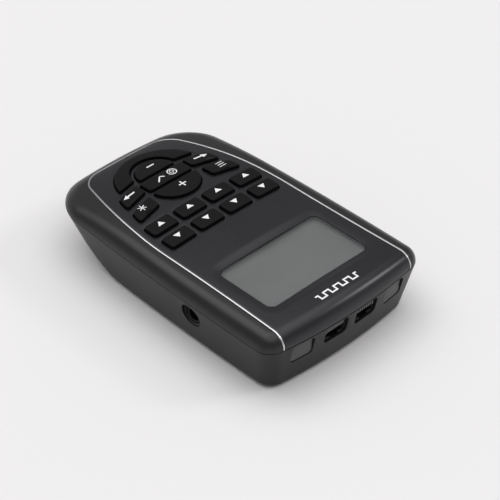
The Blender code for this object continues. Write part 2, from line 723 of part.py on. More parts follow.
def make_fasteners():
    """Four pan-head screws that join the shells, and the door's countersunk one."""
    head_radius, foot, seat = SCREW_HEAD
    shank, tip = SCREW_SHANK
    profile = ((head_radius, foot), (head_radius, seat), (shank, seat), (shank, tip))
    for number, (x, y) in enumerate(SCREW_SPOTS):
        shape = turned(profile, upright(x, y), 16)
        screw = make_object(f"case_screw_{number + 1}", *shape, MATERIALS["steel"], (x, y, foot))
        slot = box((x - 1.9, y - 0.4, foot - 0.9), (x + 1.9, y + 0.4, foot + 0.8))
        add_boolean(screw, make_cutter(f"screw_slot_{number + 1}", *slot))
    shape = turned(((2.7, 0.1), (1.3, 1.15), (1.15, 1.3), (1.15, 6.5)), upright(0.0, DOOR_SCREW_Y), 16)
    screw = make_object("door_screw", *shape, MATERIALS["steel"], (0.0, DOOR_SCREW_Y, 0.1))
    slot = box((-1.9, DOOR_SCREW_Y - 0.35, -1.0), (1.9, DOOR_SCREW_Y + 0.35, 0.7))
    add_boolean(screw, make_cutter("door_screw_slot", *slot))


# ---------------------------------------------------------------- inner parts

def make_boards():
    """The control board and the key mat, notched around the screw posts, and the power board."""
    def board_edge(x, y):
        return max(case_edge(x, y, CONTROL_BOARD_Z[0]) + BOARD_WALL_GAP, y - 59.0, -y - 69.8)

    def mat_edge(x, y):
        return max(trim_edge(x, y) + MAT_TRIM_GAP, y - 1.5, -y - 70.2)

    board = prism(trace(board_edge, RAYS), *CONTROL_BOARD_Z)
    control = make_object("control_board", *board, MATERIALS["board"])
    mat = make_object("keypad_mat", *prism(trace(mat_edge, RAYS), *MAT_Z), MATERIALS["rubber"])
    half, reach = BOARD_NOTCH
    notches = []
    for x, y in SCREW_SPOTS:
        ends = (x - math.copysign(half, x), x + math.copysign(reach, x))
        notches.append(box((min(ends), y - half, 0.0), (max(ends), y + half, FACE_Z)))
    jack_notch = box((31.0, JACK_Y - 6.5, 0.0), (60.0, JACK_Y + 6.5, FACE_Z))
    add_boolean(control, make_cutter("control_board_notches", *join_shapes(notches + [jack_notch])))
    add_boolean(mat, make_cutter("keypad_mat_notches", *join_shapes(notches)))
    corners = list(POWER_BOARD_CORNERS)
    make_object("power_board", *prism(corners + mirrored(corners), *POWER_BOARD_Z), MATERIALS["board"])


def make_battery():
    """Round cells side by side in one shrink-wrapped pack."""
    outline = []
    middle_z = FLOOR + 1.2 + CELL_RADIUS
    for k in range(CELL_COUNT):
        x = (k - (CELL_COUNT - 1) / 2) * 2 * CELL_RADIUS
        start = 180 if k == 0 else 205
        end = 360 if k == CELL_COUNT - 1 else 335
        outline += arc((x, middle_z), (CELL_RADIUS, CELL_RADIUS), start, end, 6)
    outline += [(-x, 2 * middle_z - z) for x, z in outline]
    pack = prism_along_y(clean_outline(outline), BATTERY_END_Y - CELL_LENGTH, BATTERY_END_Y)
    make_object("battery_pack", *pack, MATERIALS["wrap"])
    plug = box((8.0, 14.5, POWER_BOARD_Z[1] + SEAM_GAP), (18.0, 20.0, POWER_BOARD_Z[1] + 6.0))
    make_object("battery_plug", *plug, MATERIALS["white_plastic"])
    guide = ((13.0, BATTERY_END_Y + 0.4, 9.0), (13.0, BATTERY_END_Y + 7.0, 9.0), (13.0, 4.0, 15.0),
             (13.0, 14.1, 16.0))
    make_tube("battery_lead", [Vector(point) for point in guide], 1.2, MATERIALS["red_wire"])


def make_tube(name, guide, radius, material, steps=16):
    """A bent round tube along one smooth curve through four guide points."""
    curve = bpy.data.curves.new(name, "CURVE")
    curve.dimensions = "3D"
    curve.bevel_depth = radius * MM
    curve.bevel_resolution = 2
    curve.use_fill_caps = True
    spline = curve.splines.new("POLY")
    spline.points.add(steps)
    for k in range(steps + 1):
        t = k / steps
        weights = ((1 - t) ** 3, 3 * t * (1 - t) ** 2, 3 * t * t * (1 - t), t ** 3)
        point = sum((w * p for w, p in zip(weights, guide)), Vector()) * MM
        spline.points[k].co = (*point, 1.0)
    curve.materials.append(material)
    bpy.context.scene.collection.objects.link(bpy.data.objects.new(name, curve))


def clean_outline(outline):
    """The outline without points that repeat the one before."""
    return [point for i, point in enumerate(outline) if math.dist(point, outline[i - 1]) > 1e-6]


def make_components():
    """The larger parts on the two boards."""
    top = POWER_BOARD_Z[1] + SEAM_GAP
    bottom = CONTROL_BOARD_Z[0] - SEAM_GAP
    outline = [(9.0, 0.0), (9.0, 8.0), (6.0, 8.0), (6.0, 6.6)]
    outline += [(-x, z) for x, z in reversed(outline)]
    core = prism_along_y([(x - 24.0, top + z) for x, z in outline], 26.0, 42.0)
    make_object("pulse_transformer", *core, MATERIALS["ferrite"])
    can = turned(((4.0, 30.0), (4.4, 30.5), (4.4, 44.0), (4.0, 44.5)),
                 lambda u, v, w: (12.0 + u, w, top + 4.5 + v))
    make_object("storage_capacitor", *can, MATERIALS["sleeve"])
    make_object("processor_chip", *box((-7.0, 30.0, bottom - 1.4), (7.0, 44.0, bottom)), MATERIALS["chip"])
    make_object("board_link", *box((-9.0, 50.0, top), (9.0, 53.0, bottom)), MATERIALS["chip"])
    buzzer = turned(((6.0, bottom - 5.0), (6.0, bottom)), upright(0.0, 3.0))
    make_object("buzzer", *buzzer, MATERIALS["chip"])


MATERIALS = {}
RAYS = ray_angles()
KEY_OUTLINES = key_outlines()


def main():
    clear_scene()
    MATERIALS.update({
        "case": make_material("case_black", (0.022, 0.022, 0.023), 0.45),
        "panel": make_material("panel_black", (0.020, 0.020, 0.022), 0.35),
        "bright": make_material("bright_trim", (0.62, 0.62, 0.63), 0.25, 1.0),
        "lens": make_material("clear_lens", (0.5, 0.52, 0.52), 0.1),
        "lcd": make_material("lcd_grey", (0.16, 0.165, 0.168), 0.5),
        "white_plastic": make_material("backlight_white", (0.8, 0.8, 0.78), 0.5),
        "key": make_material("key_rubber", (0.012, 0.012, 0.013), 0.55),
        "socket": make_material("socket_black", (0.008, 0.008, 0.008), 0.5),
        "contact": make_material("contact_gold", (0.75, 0.55, 0.22), 0.3, 1.0),
        "blank": make_material("blank_grey", (0.075, 0.075, 0.078), 0.55),
        "steel": make_material("screw_steel", (0.5, 0.5, 0.5), 0.35, 1.0),
        "board": make_material("board_green", (0.02, 0.12, 0.05), 0.45),
        "rubber": make_material("mat_rubber", (0.15, 0.15, 0.16), 0.7),
        "wrap": make_material("battery_wrap", (0.03, 0.10, 0.28), 0.4),
        "red_wire": make_material("red_wire", (0.45, 0.02, 0.02), 0.4),
        "ferrite": make_material("ferrite", (0.06, 0.06, 0.065), 0.6),
        "sleeve": make_material("capacitor_sleeve", (0.03, 0.03, 0.08), 0.35),
        "chip": make_material("chip_black", (0.02, 0.02, 0.02), 0.5),
        "cutter": make_material("cutter", (0.8, 0.2, 0.2), 0.5),
    })
    make_rear_shell()
    make_battery_door()
    make_front_shell()
    make_face_panel()
    make_trim()
    make_display()
    for name, outline in KEY_OUTLINES.items():
        make_key(name, outline)
    make_ports()
    make_power_inlet()
    make_fasteners()
    make_boards()
    make_battery()
    make_components()


main()
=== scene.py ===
"""Looks of the handheld electrotherapy controller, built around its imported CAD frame.

Dimensions below are in millimetres, in the frame of the part: +X is the user's right, +Y points to the
connector end and +Z comes out of the face. Points are scaled by MM as they become meshes.
"""

import math

import bmesh
import bpy
import numpy as np
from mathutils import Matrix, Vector
from mathutils.geometry import delaunay_2d_cdt
from mathutils.kdtree import KDTree


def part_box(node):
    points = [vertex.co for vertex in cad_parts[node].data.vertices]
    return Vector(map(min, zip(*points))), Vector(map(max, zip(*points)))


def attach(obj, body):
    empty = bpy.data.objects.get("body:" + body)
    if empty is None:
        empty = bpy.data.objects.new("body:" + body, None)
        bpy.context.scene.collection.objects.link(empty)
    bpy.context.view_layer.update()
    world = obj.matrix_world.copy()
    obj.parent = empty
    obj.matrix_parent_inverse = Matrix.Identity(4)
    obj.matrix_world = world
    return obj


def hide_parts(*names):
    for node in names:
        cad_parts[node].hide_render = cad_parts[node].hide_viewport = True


MM = 0.001
SHARP_ANGLE = 38.0

# Case
HALF_WIDTH = 49.5
HALF_LENGTH = 80.0
SIDE_CROWN = 0.0003
WIDEST_Y = 42.0
CONNECTOR_END_CROWN = 0.0018
KEYPAD_END_CROWN = 0.0015
CONNECTOR_CORNER = 7.0
KEYPAD_CORNER = 20.0
KEYPAD_CORNER_GROWTH = 10.0
PART_Z = 26.0
FACE_Z = 35.0
FACE_CROWN = 2.1
FACE_DROP = 5.6
FACE_DROP_START = -20.0
SHOULDER = 7.1
WALL = 2.2
FLOOR = 3.0
SEAM_GAP = 0.3
SIDE_LEAN = 5.3
SIDE_ROUND = 3.0
CONNECTOR_LEAN = 5.6
KEYPAD_LEAN = 10.5
KEYPAD_ROUND = 14.0

# Face panel and its bright outline
TRIM_HALF_WIDTH = 39.6
TRIM_FLARE = 0.00024
TRIM_TAPER = 0.0024
TRIM_FAR = 75.0
TRIM_CORNER = 9.0
TRIM_WIDTH = 0.8
TRIM_GAP = 0.12
TRIM_CROWNING = 0.1
PANEL_THICKNESS = 2.4
PANEL_HEM = 0.12

# Display
WINDOW_Y = 42.0
WINDOW_HALF = (31.2, 17.4)
WINDOW_CORNER = 4.0
DISH_MARGIN = 5.0
WINDOW_LIP_Z = 33.8
WINDOW_LIP_CROWN = 0.4
LENS_Z = (32.7, 33.6)

# Keys
KEY_PITCH = 17.97
KEY_SIZE = (14.6, 8.2)
KEY_ROWS = {"up": -5.3, "down": -17.3}
KEY_CORNER = 1.4
KEY_PROUD = 1.4
KEY_CLEARANCE = 0.45
KEY_FLANGE = 0.5
KEY_FLANGE_HEIGHT = 0.8
KEY_FOOT_Z = 26.7
KEY_EDGE = 0.35
MARK_HEIGHT = 0.04
PULSE_Y = (68.2, 71.0)
PULSE_REACH = 13.0
PULSE_COUNT = 4
PULSE_WIDTH = 3.2
PULSE_LINE = 0.85

# Connector end
SOCKET_X = 9.5
SOCKET_HALF_WIDTH = 6.85
SOCKET_Z = (15.6, 25.1)
SOCKET_DEPTH = 14.0
SOCKET_RECESS = 1.0
SOCKET_SHELL = 1.0
CONTACT_COUNT = 8
CONTACT_PITCH = 1.3
BLANK_X = 29.2
BLANK_HALF_WIDTH = 6.2
BLANK_Z = (14.5, 24.9)
BLANK_RECESS = (0.3, 1.4)
BLANK_FLANGE = 1.0
BLANK_CLEARANCE = 0.12
PORT_CORNER = 2.2
PORT_EDGE = 0.3
PORT_CUT_Y = (70.0, 90.0)
POWER_BOARD_TOP = 13.1

# Power inlet
JACK_Y = 24.9
JACK_Z = 18.2
JACK_RING = 5.9
JACK_RING_DEPTH = 1.6
JACK_NOSE = 4.2
JACK_BORE = 3.15
JACK_PIN = 1.0
JACK_PIN_DEPTH = 5.0
JACK_BODY_SETBACK = 4.8

# Back
DOOR_HALF = (27.0, 29.0)
DOOR_Y = -24.0
DOOR_THICKNESS = 1.5
DOOR_CORNER = 3.0
DOOR_SCREW_Y = 8.5
GROOVE_COUNT = 5
GROOVE_PITCH = 2.4
GROOVE_START_Y = -45.5
SCREW_SPOTS = ((37.0, 61.0), (-37.0, 61.0), (34.5, -38.5), (-34.5, -38.5))

ROLL_ANGLES = (84, 78, 72, 66, 60, 54, 48, 42, 36, 30, 24, 18, 12, 6, 0)

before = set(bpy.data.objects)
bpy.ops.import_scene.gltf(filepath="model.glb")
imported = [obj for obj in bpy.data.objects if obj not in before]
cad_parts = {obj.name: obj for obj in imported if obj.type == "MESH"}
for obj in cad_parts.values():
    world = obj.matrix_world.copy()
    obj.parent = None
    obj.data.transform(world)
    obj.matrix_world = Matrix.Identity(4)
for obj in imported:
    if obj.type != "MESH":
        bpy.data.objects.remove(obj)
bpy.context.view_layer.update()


# ---------------------------------------------------------------- materials

def link(tree, source, output, target, socket):
    tree.links.new(source.outputs[output], target.inputs[socket])


def finish_material(name, colour, roughness, metallic=0.0, grain=2600.0, bump=0.25, wander=0.02, shade=0.05,
                    **extra):
    """A moulded or cast surface: fine grain in the normal, slow variation in roughness and in colour."""
    material = bpy.data.materials.new(name)
    material.use_nodes = True
    tree = material.node_tree
    shader = tree.nodes["Principled BSDF"]
    shader.inputs["Metallic"].default_value = metallic
    for socket, value in extra.items():
        shader.inputs[socket.replace("_", " ")].default_value = value
    place = tree.nodes.new("ShaderNodeTexCoord")

    fine = tree.nodes.new("ShaderNodeTexNoise")
    fine.inputs["Scale"].default_value = grain
    fine.inputs["Detail"].default_value = 2.0
    link(tree, place, "Object", fine, "Vector")
    relief = tree.nodes.new("ShaderNodeBump")
    relief.inputs["Strength"].default_value = bump
    relief.inputs["Distance"].default_value = 0.00002
    link(tree, fine, "Fac", relief, "Height")
    link(tree, relief, "Normal", shader, "Normal")

    slow = tree.nodes.new("ShaderNodeTexNoise")
    slow.inputs["Scale"].default_value = 45.0
    slow.inputs["Detail"].default_value = 2.0
    link(tree, place, "Object", slow, "Vector")
    rough = tree.nodes.new("ShaderNodeMapRange")
    rough.inputs["From Min"].default_value = 0.3
    rough.inputs["From Max"].default_value = 0.7
    rough.inputs["To Min"].default_value = max(0.0, roughness - wander)
    rough.inputs["To Max"].default_value = roughness + wander
    link(tree, slow, "Fac", rough, "Value")
    link(tree, rough, "Result", shader, "Roughness")

    tint = tree.nodes.new("ShaderNodeValToRGB")
    tint.color_ramp.elements[0].position = 0.35
    tint.color_ramp.elements[1].position = 0.65
    for element, share in zip(tint.color_ramp.elements, (1 - shade, 1 + shade)):
        element.color = (*[min(1.0, value * share) for value in colour], 1.0)
    link(tree, slow, "Fac", tint, "Fac")
    link(tree, tint, "Color", shader, "Base Color")
    return material


LOOKS = {
    "case": finish_material("case_black", (0.0105, 0.0105, 0.0107), 0.32, Specular_IOR_Level=0.40),
    # The rear case's copy of the case black is darker and less glossy: painted shade that keeps its walls
    # below the seam darker than the lamps leave them.
    "rear": finish_material("rear_black_painted_shade", (0.0085, 0.0085, 0.0087), 0.36, Specular_IOR_Level=0.25),
    "panel": finish_material("panel_black", (0.0098, 0.0090, 0.0118), 0.28, bump=0.12,
                             Specular_IOR_Level=0.43),
    "key": finish_material("key_rubber", (0.0028, 0.0028, 0.0034), 0.5, grain=1800.0, bump=0.3,
                           Specular_IOR_Level=0.13),
    "bright": finish_material("bright_trim", (0.62, 0.62, 0.63), 0.30, 1.0, bump=0.05),
    "marking": finish_material("white_marks", (0.84, 0.84, 0.85), 0.5, bump=0.05, shade=0.02),
    "lens": finish_material("clear_lens", (0.30, 0.31, 0.31), 0.12, bump=0.0, wander=0.02, Alpha=0.12),
    "lcd": finish_material("lcd_grey", (0.114, 0.118, 0.119), 0.45, bump=0.03, shade=0.015),
    "white_plastic": finish_material("light_guide", (0.75, 0.75, 0.72), 0.5),
    "socket": finish_material("socket_black", (0.0035, 0.0035, 0.0035), 0.5, Specular_IOR_Level=0.2),
    "contact": finish_material("contact_gold", (0.62, 0.45, 0.18), 0.35, 1.0, bump=0.05),
    "comb": finish_material("comb_grey", (0.14, 0.14, 0.142), 0.4),
    "blank": finish_material("blank_grey", (0.048, 0.048, 0.050), 0.46),
    "steel": finish_material("screw_steel", (0.42, 0.42, 0.43), 0.35, 1.0, bump=0.1),
    "board": finish_material("board_green", (0.02, 0.11, 0.05), 0.42, bump=0.1),
    "mat": finish_material("mat_rubber", (0.15, 0.15, 0.16), 0.65),
    "wrap": finish_material("battery_wrap", (0.03, 0.10, 0.28), 0.35, bump=0.05),
    "red_wire": finish_material("red_wire", (0.45, 0.02, 0.02), 0.4, bump=0.05),
    "ferrite": finish_material("ferrite", (0.05, 0.05, 0.055), 0.55, bump=0.5),
    "sleeve": finish_material("capacitor_sleeve", (0.03, 0.03, 0.08), 0.35, bump=0.05),
    "chip": finish_material("chip_black", (0.015, 0.015, 0.015), 0.5),
}


# ---------------------------------------------------------------- meshes

def make_object(name, points, faces, look):
    mesh = bpy.data.meshes.new(name)
    mesh.from_pydata([[value * MM for value in point] for point in points], [], faces)
    build = bmesh.new()
    build.from_mesh(mesh)
    bmesh.ops.remove_doubles(build, verts=build.verts, dist=1e-7)
    bmesh.ops.recalc_face_normals(build, faces=build.faces)
    build.to_mesh(mesh)
    build.free()
    mesh.materials.append(LOOKS[look])
    mesh.shade_smooth()
    mesh.set_sharp_from_angle(angle=math.radians(SHARP_ANGLE))
    made = bpy.data.objects.new(name, mesh)
    bpy.context.scene.collection.objects.link(made)
    return made


def carve(target, shapes, operation="DIFFERENCE"):
    """Booleans applied for good, one after the other. Each shape is a list of points and a list of faces."""
    for shape in shapes:
        tool = make_object("tool", *shape, "case")
        modifier = target.modifiers.new("cut", "BOOLEAN")
        modifier.operation = operation
        modifier.object = tool
        modifier.solver = "EXACT"
        bpy.context.view_layer.update()
        evaluated = target.evaluated_get(bpy.context.evaluated_depsgraph_get())
        result = bpy.data.meshes.new_from_object(evaluated)
        target.modifiers.clear()
        old = target.data
        name = old.name
        target.data = result
        bpy.data.meshes.remove(old)
        result.name = name
        tool_mesh = tool.data
        bpy.data.objects.remove(tool)
        bpy.data.meshes.remove(tool_mesh)
    while len(target.data.materials) > 1:
        target.data.materials.pop()
    target.data.shade_smooth()
    target.data.set_sharp_from_angle(angle=math.radians(SHARP_ANGLE))


def keep(made, body, slot, *nodes):
    """Parents the piece to the body it rides on and hides the CAD nodes it stands for. The slot, its finish,
    is not used.
    """
    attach(made, body)
    if nodes:
        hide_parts(*nodes)


def loft(rings):
    """A closed skin through rings with equal numbers of points, with both ends filled."""
    size = len(rings[0])
    points = [point for ring in rings for point in ring]
    faces = []
    for layer in range(len(rings) - 1):
        low = layer * size
        high = low + size
        for i in range(size):
            j = (i + 1) % size
            faces.append((low + i, low + j, high + j, high + i))
    faces.append(tuple(range(size)))
    faces.append(tuple(reversed(range(len(points) - size, len(points)))))
    return points, faces


def join_shapes(shapes):
    points = []
    faces = []
    for shape_points, shape_faces in shapes:
        start = len(points)
        points += shape_points
        faces += [tuple(start + index for index in face) for face in shape_faces]
    return points, faces


def arc(centre, radii, start, end, steps):
    result = []
    for k in range(steps + 1):
        angle = math.radians(start + (end - start) * k / steps)
        result.append((centre[0] + radii[0] * math.cos(angle), centre[1] + radii[1] * math.sin(angle)))
    return result


def rounded_rectangle(centre, half, radius, steps=6):
    result = []
    for sign_u, sign_v, start in ((1, 1, 0), (-1, 1, 90), (-1, -1, 180), (1, -1, 270)):
        middle = (centre[0] + sign_u * (half[0] - radius), centre[1] + sign_v * (half[1] - radius))
        result += arc(middle, (radius, radius), start, start + 90, steps)
    return result


def round_corners(corners, radius, steps=5):
    result = []
    count = len(corners)
    for i, corner in enumerate(corners):
        arriving = Vector(corner) - Vector(corners[i - 1])
        leaving = Vector(corners[(i + 1) % count]) - Vector(corner)
        if abs(arriving.angle_signed(leaving)) < math.radians(30):
            result.append(corner)
            continue
        sides = []
        for other in (corners[i - 1], corners[(i + 1) % count]):
            reach = math.dist(corner, other)
            share = min(radius, 0.45 * reach) / reach
            sides.append([corner[k] + (other[k] - corner[k]) * share for k in range(2)])
        for k in range(steps + 1):
            t = k / steps
            weights = ((1 - t) ** 2, 2 * t * (1 - t), t * t)
            result.append(tuple(
                weights[0] * sides[0][axis] + weights[1] * corner[axis] + weights[2] * sides[1][axis]
                for axis in range(2)
            ))
    return result


def offset_outline(outline, distance):
    result = []
    count = len(outline)
    for i, here in enumerate(outline):
        normals = []
        for a, b in ((outline[i - 1], here), (here, outline[(i + 1) % count])):
            length = math.dist(a, b)
            normals.append(((b[1] - a[1]) / length, (a[0] - b[0]) / length))
        mean = [normals[0][k] + normals[1][k] for k in range(2)]
        scale = 2.0 / (mean[0] ** 2 + mean[1] ** 2)
        result.append((here[0] + mean[0] * scale * distance, here[1] + mean[1] * scale * distance))
    return result


def subdivide(outline, step):
    """The closed outline with its long edges split."""
    result = []
    for i, a in enumerate(outline):
        b = outline[(i + 1) % len(outline)]
        parts = max(1, math.ceil(math.dist(a, b) / step))
        for k in range(parts):
            result.append((a[0] + (b[0] - a[0]) * k / parts, a[1] + (b[1] - a[1]) * k / parts))
    return result


def prism(outline, low, high):
    return loft([[(x, y, low) for x, y in outline], [(x, y, high) for x, y in outline]])


def soft_prism(outline, low, high, edge, soft_low=False):
    """A prism whose upper edge, and if asked its lower one, is rounded."""
    rings = []
    turns = (0, 30, 60, 90)
    if soft_low:
        for turn in reversed(turns):
            inset = edge * (1 - math.cos(math.radians(turn)))
            level = low + edge * (1 - math.sin(math.radians(turn)))
            rings.append([(x, y, level) for x, y in offset_outline(outline, -inset)])
    else:
        rings.append([(x, y, low) for x, y in outline])
    for turn in turns:
        inset = edge * (1 - math.cos(math.radians(turn)))
        level = high - edge * (1 - math.sin(math.radians(turn)))
        rings.append([(x, y, level) for x, y in offset_outline(outline, -inset)])
    return loft(rings)


def box(low, high):
    outline = [(low[0], low[1]), (high[0], low[1]), (high[0], high[1]), (low[0], high[1])]
    return prism(outline, low[2], high[2])


def turned(profile, place, steps=48):
    rings = []
    for radius, along in profile:
        rings.append([place(radius * math.cos(2 * math.pi * k / steps),
                            radius * math.sin(2 * math.pi * k / steps), along) for k in range(steps)])
    return loft(rings)


# ---------------------------------------------------------------- the case's own curves

def rounded_max(a, b, radius):
    if a > -radius and b > -radius:
        return math.hypot(a + radius, b + radius) - radius
    return max(a, b)


def wall_inset(z, lean, fillet):
    inset = lean * max(0.0, 1 - z / PART_Z)
    if z < fillet:
        inset += fillet - math.sqrt(fillet ** 2 - (fillet - z) ** 2)
    return inset


def case_edge(x, y, z=PART_Z):
    side = abs(x) - (HALF_WIDTH - wall_inset(z, SIDE_LEAN, SIDE_ROUND) - SIDE_CROWN * (y - WIDEST_Y) ** 2)
    near = y - (HALF_LENGTH - wall_inset(z, CONNECTOR_LEAN, SIDE_ROUND) - CONNECTOR_END_CROWN * x * x)
    far = -y - (HALF_LENGTH - wall_inset(z, KEYPAD_LEAN, KEYPAD_ROUND) - KEYPAD_END_CROWN * x * x)
    far_corner = KEYPAD_CORNER + KEYPAD_CORNER_GROWTH * max(0.0, 1 - z / PART_Z)
    return max(rounded_max(side, near, CONNECTOR_CORNER), rounded_max(side, far, far_corner))


def trim_half_width(y):
    return TRIM_HALF_WIDTH + (TRIM_FLARE if y > 0 else -TRIM_TAPER) * y * y


def trim_edge(x, y):
    return rounded_max(abs(x) - trim_half_width(y), -y - TRIM_FAR, TRIM_CORNER)


def face_top(x, y):
    drop = max(0.0, (FACE_DROP_START - y) / (HALF_LENGTH + FACE_DROP_START))
    return FACE_Z - FACE_CROWN * (x / HALF_WIDTH) ** 2 - FACE_DROP * drop ** 2


def face_height(x, y, depth=0.0):
    inset = -case_edge(x, y) - depth
    share = min(1.0, max(0.0, (SHOULDER - inset) / SHOULDER))
    return PART_Z - depth + (face_top(x, y) - PART_Z) * math.sqrt(1 - share ** 2)


def connector_wall_y(x, z):
    return HALF_LENGTH - wall_inset(z, CONNECTOR_LEAN, SIDE_ROUND) - CONNECTOR_END_CROWN * x * x


def side_wall_x(y, z):
    return HALF_WIDTH - wall_inset(z, SIDE_LEAN, SIDE_ROUND) - SIDE_CROWN * (y - WIDEST_Y) ** 2


def trace(edge, angles):
    """Where each ray from the middle crosses the edge function's zero line."""
    outline = []
    for angle in angles:
        low = 0.0
        high = 2 * HALF_LENGTH
        for _ in range(40):
            middle = (low + high) / 2
            if edge(middle * math.cos(angle), middle * math.sin(angle)) < 0:
                low = middle
            else:
                high = middle
        outline.append((low * math.cos(angle), low * math.sin(angle)))
    return outline


def ray_angles(count):
    """Directions from the middle of the case, closer together towards its corners."""
    angles = []
    for k in range(count):
        turn = 2 * math.pi * k / count
        across = math.copysign(abs(math.cos(turn)) ** 0.6, math.cos(turn)) * HALF_WIDTH
        along = math.copysign(abs(math.sin(turn)) ** 0.6, math.sin(turn)) * HALF_LENGTH
        angles.append(math.atan2(along, across))
    return sorted(angle % (2 * math.pi) for angle in angles)


RAYS = ray_angles(360)

# Loose points of a plan patch: row spacing and distance kept from its lines, as shares of the step
GRID_ROW = 0.87
GRID_CLEARANCE = 0.55
PLAN_STEP = 1.8


def roll_inset(angle):
    """Distance in from the rim where the shoulder leans by this angle."""
    return SHOULDER * (1 - math.sin(math.radians(angle)))


def trim_path(offset, rim_inset, step=1.4):
    """The bright outline's line, moved inwards by offset, from the rim at +X round the keypad end to -X."""
    side = []
    x = trim_half_width(HALF_LENGTH) - offset
    start = HALF_LENGTH - CONNECTOR_END_CROWN * x * x - rim_inset
    levels = [HALF_LENGTH - CONNECTOR_END_CROWN * x * x - roll_inset(a) for a in ROLL_ANGLES]
    levels = [start] + [y for y in levels if y < start - 0.02]
    corner = -TRIM_FAR + TRIM_CORNER
    count = math.ceil((levels[-1] - corner) / step)
    levels += [levels[-1] + (corner - levels[-1]) * k / count for k in range(1, count)]
    for y in levels:
        side.append((trim_half_width(y) - offset, y))
    for k in range(0, 18):
        angle = math.radians(5 * k)
        y = corner - (TRIM_CORNER - offset) * math.sin(angle)
        side.append((trim_half_width(y) - TRIM_CORNER + (TRIM_CORNER - offset) * math.cos(angle), y))
    end_y = corner - (TRIM_CORNER - offset)
    end_x = trim_half_width(end_y) - TRIM_CORNER
    far = [(end_x - 2 * end_x * k / 24, end_y) for k in range(25)]
    return side + far + [(-px, py) for px, py in reversed(side)]


# ---------------------------------------------------------------- plan patches

def in_polygon(points, outline):
    """Which of the points are inside the outline."""
    inside = np.zeros(len(points), bool)
    x, y = points[:, 0], points[:, 1]
    for i, b in enumerate(outline):
        a = outline[i - 1]
        if a[1] == b[1]:
            continue
        crosses = (a[1] > y) != (b[1] > y)
        at = a[0] + (y - a[1]) * (b[0] - a[0]) / (b[1] - a[1])
        inside ^= crosses & (x < at)
    return inside


def patch(loops, lines, box_low, box_high, step, inside):
    """Triangles over a plan region. Loops and lines are lists of (x, y, drop). Loose points fill the rest."""
    spots = []
    edges = []
    for run, closed in [(loop, True) for loop in loops] + [(line, False) for line in lines]:
        start = len(spots)
        spots += run
        edges += [(start + k, start + k + 1) for k in range(len(run) - 1)]
        if closed:
            edges.append((start + len(run) - 1, start))
    tree = KDTree(len(spots))
    for k, spot in enumerate(spots):
        tree.insert((spot[0], spot[1], 0.0), k)
    tree.balance()
    grid = []
    rows = int((box_high[1] - box_low[1]) / (step * GRID_ROW)) + 1
    columns = int((box_high[0] - box_low[0]) / step) + 1
    for row in range(rows):
        for column in range(columns):
            grid.append((box_low[0] + step * (column + 0.5 * (row % 2)), box_low[1] + step * GRID_ROW * row))
    grid = [spot for spot, good in zip(grid, inside(np.array(grid))) if good]
    spots = spots + [(x, y, 0.0) for x, y in grid if tree.find((x, y, 0.0))[2] > GRID_CLEARANCE * step]
    made = delaunay_2d_cdt([Vector(spot[:2]) for spot in spots], edges, [], 0, 1e-5, True)
    found, triangles, sources = made[0], made[2], made[3]
    middles = np.array([[sum(found[k][axis] for k in face) / 3 for axis in range(2)] for face in triangles])
    triangles = [face for face, good in zip(triangles, inside(middles)) if good]
    points = [(*found[k], spots[sources[k][0]][2] if sources[k] else 0.0) for k in range(len(found))]
    return points, triangles, sources


def plate(points, triangles, top, under):
    """A closed plate over plan triangles. Top and under give heights from (x, y, drop)."""
    used = sorted({k for face in triangles for k in face})
    place = {k: i for i, k in enumerate(used)}
    size = len(used)
    solid = [(points[k][0], points[k][1], top(*points[k])) for k in used]
    solid += [(points[k][0], points[k][1], under(*points[k])) for k in used]
    faces = [tuple(place[k] for k in face) for face in triangles]
    edges = {(face[i - 1], face[i]) for face in faces for i in range(3)}
    walls = [(b, a, a + size, b + size) for a, b in edges if (b, a) not in edges]
    return solid, faces + [tuple(size + k for k in reversed(face)) for face in faces] + walls


def fillet_drop(distance, radius):
    reach = max(0.0, radius - distance)
    return radius - math.sqrt(radius ** 2 - reach ** 2)


# ---------------------------------------------------------------- key outlines

def mirrored(outline):
    return [(-x, y) for x, y in reversed(outline)]


def key_outlines():
    outlines = {}
    for number in range(4):
        x = (number - 1.5) * KEY_PITCH
        for row, y in KEY_ROWS.items():
            half = [size / 2 for size in KEY_SIZE]
            outlines[f"key_{row}_{number + 1}"] = rounded_rectangle((x, y), half, KEY_CORNER)
    arrow = round_corners([(14.9, -49.2), (27.6, -46.2), (29.4, -37.9), (15.0, -41.8)], 1.6)
    option = round_corners([(16.8, -37.5), (30.6, -33.2), (32.0, -26.0), (17.3, -29.4)], 1.6)
    outlines["key_forward"] = arrow
    outlines["key_back"] = mirrored(arrow)
    outlines["key_star"] = option
    outlines["key_info"] = mirrored(option)
    outlines["key_confirm"] = rounded_rectangle((0.0, -44.2), (13.3, 4.2), 1.8)
    outlines["key_plus"] = round_corners(arc((0.0, -37.9), (13.3, 11.9), 0, 180, 40), 1.4, 4)
    outlines["key_minus"] = round_corners(arc((0.0, -50.4), (10.7, 10.8), 180, 360, 40), 1.4, 4)
    outer = arc((0.0, -45.0), (23.8, 24.3), 194, 346, 54)
    inner = arc((0.0, -50.6), (12.9, 13.6), 350, 190, 40)
    outlines["key_menu"] = round_corners(outer + inner, 1.2, 4)
    return {name: subdivide(outline, 1.5) for name, outline in outlines.items()}


KEY_OUTLINES = key_outlines()


# ---------------------------------------------------------------- face panel, front case and trim

def window_distance(x, y):
    """Distance out from the display opening's edge."""
    across = abs(x) - WINDOW_HALF[0]
    along = abs(y - WINDOW_Y) - WINDOW_HALF[1]
    corner = WINDOW_CORNER
    return (math.hypot(max(across + corner, 0.0), max(along + corner, 0.0))
            + min(max(across, along) + corner, 0.0) - corner)


def panel_height(x, y, drop=0.0):
    height = face_height(x, y)
    share = window_distance(x, y) / DISH_MARGIN
    if share < 1.0:
        share = max(0.0, share)
        lip = WINDOW_LIP_Z + WINDOW_LIP_CROWN * max(0.0, 1 - (x / WINDOW_HALF[0]) ** 2)
        height -= max(0.0, height - lip) * (1 - share * share * (3 - 2 * share))
    return height - drop


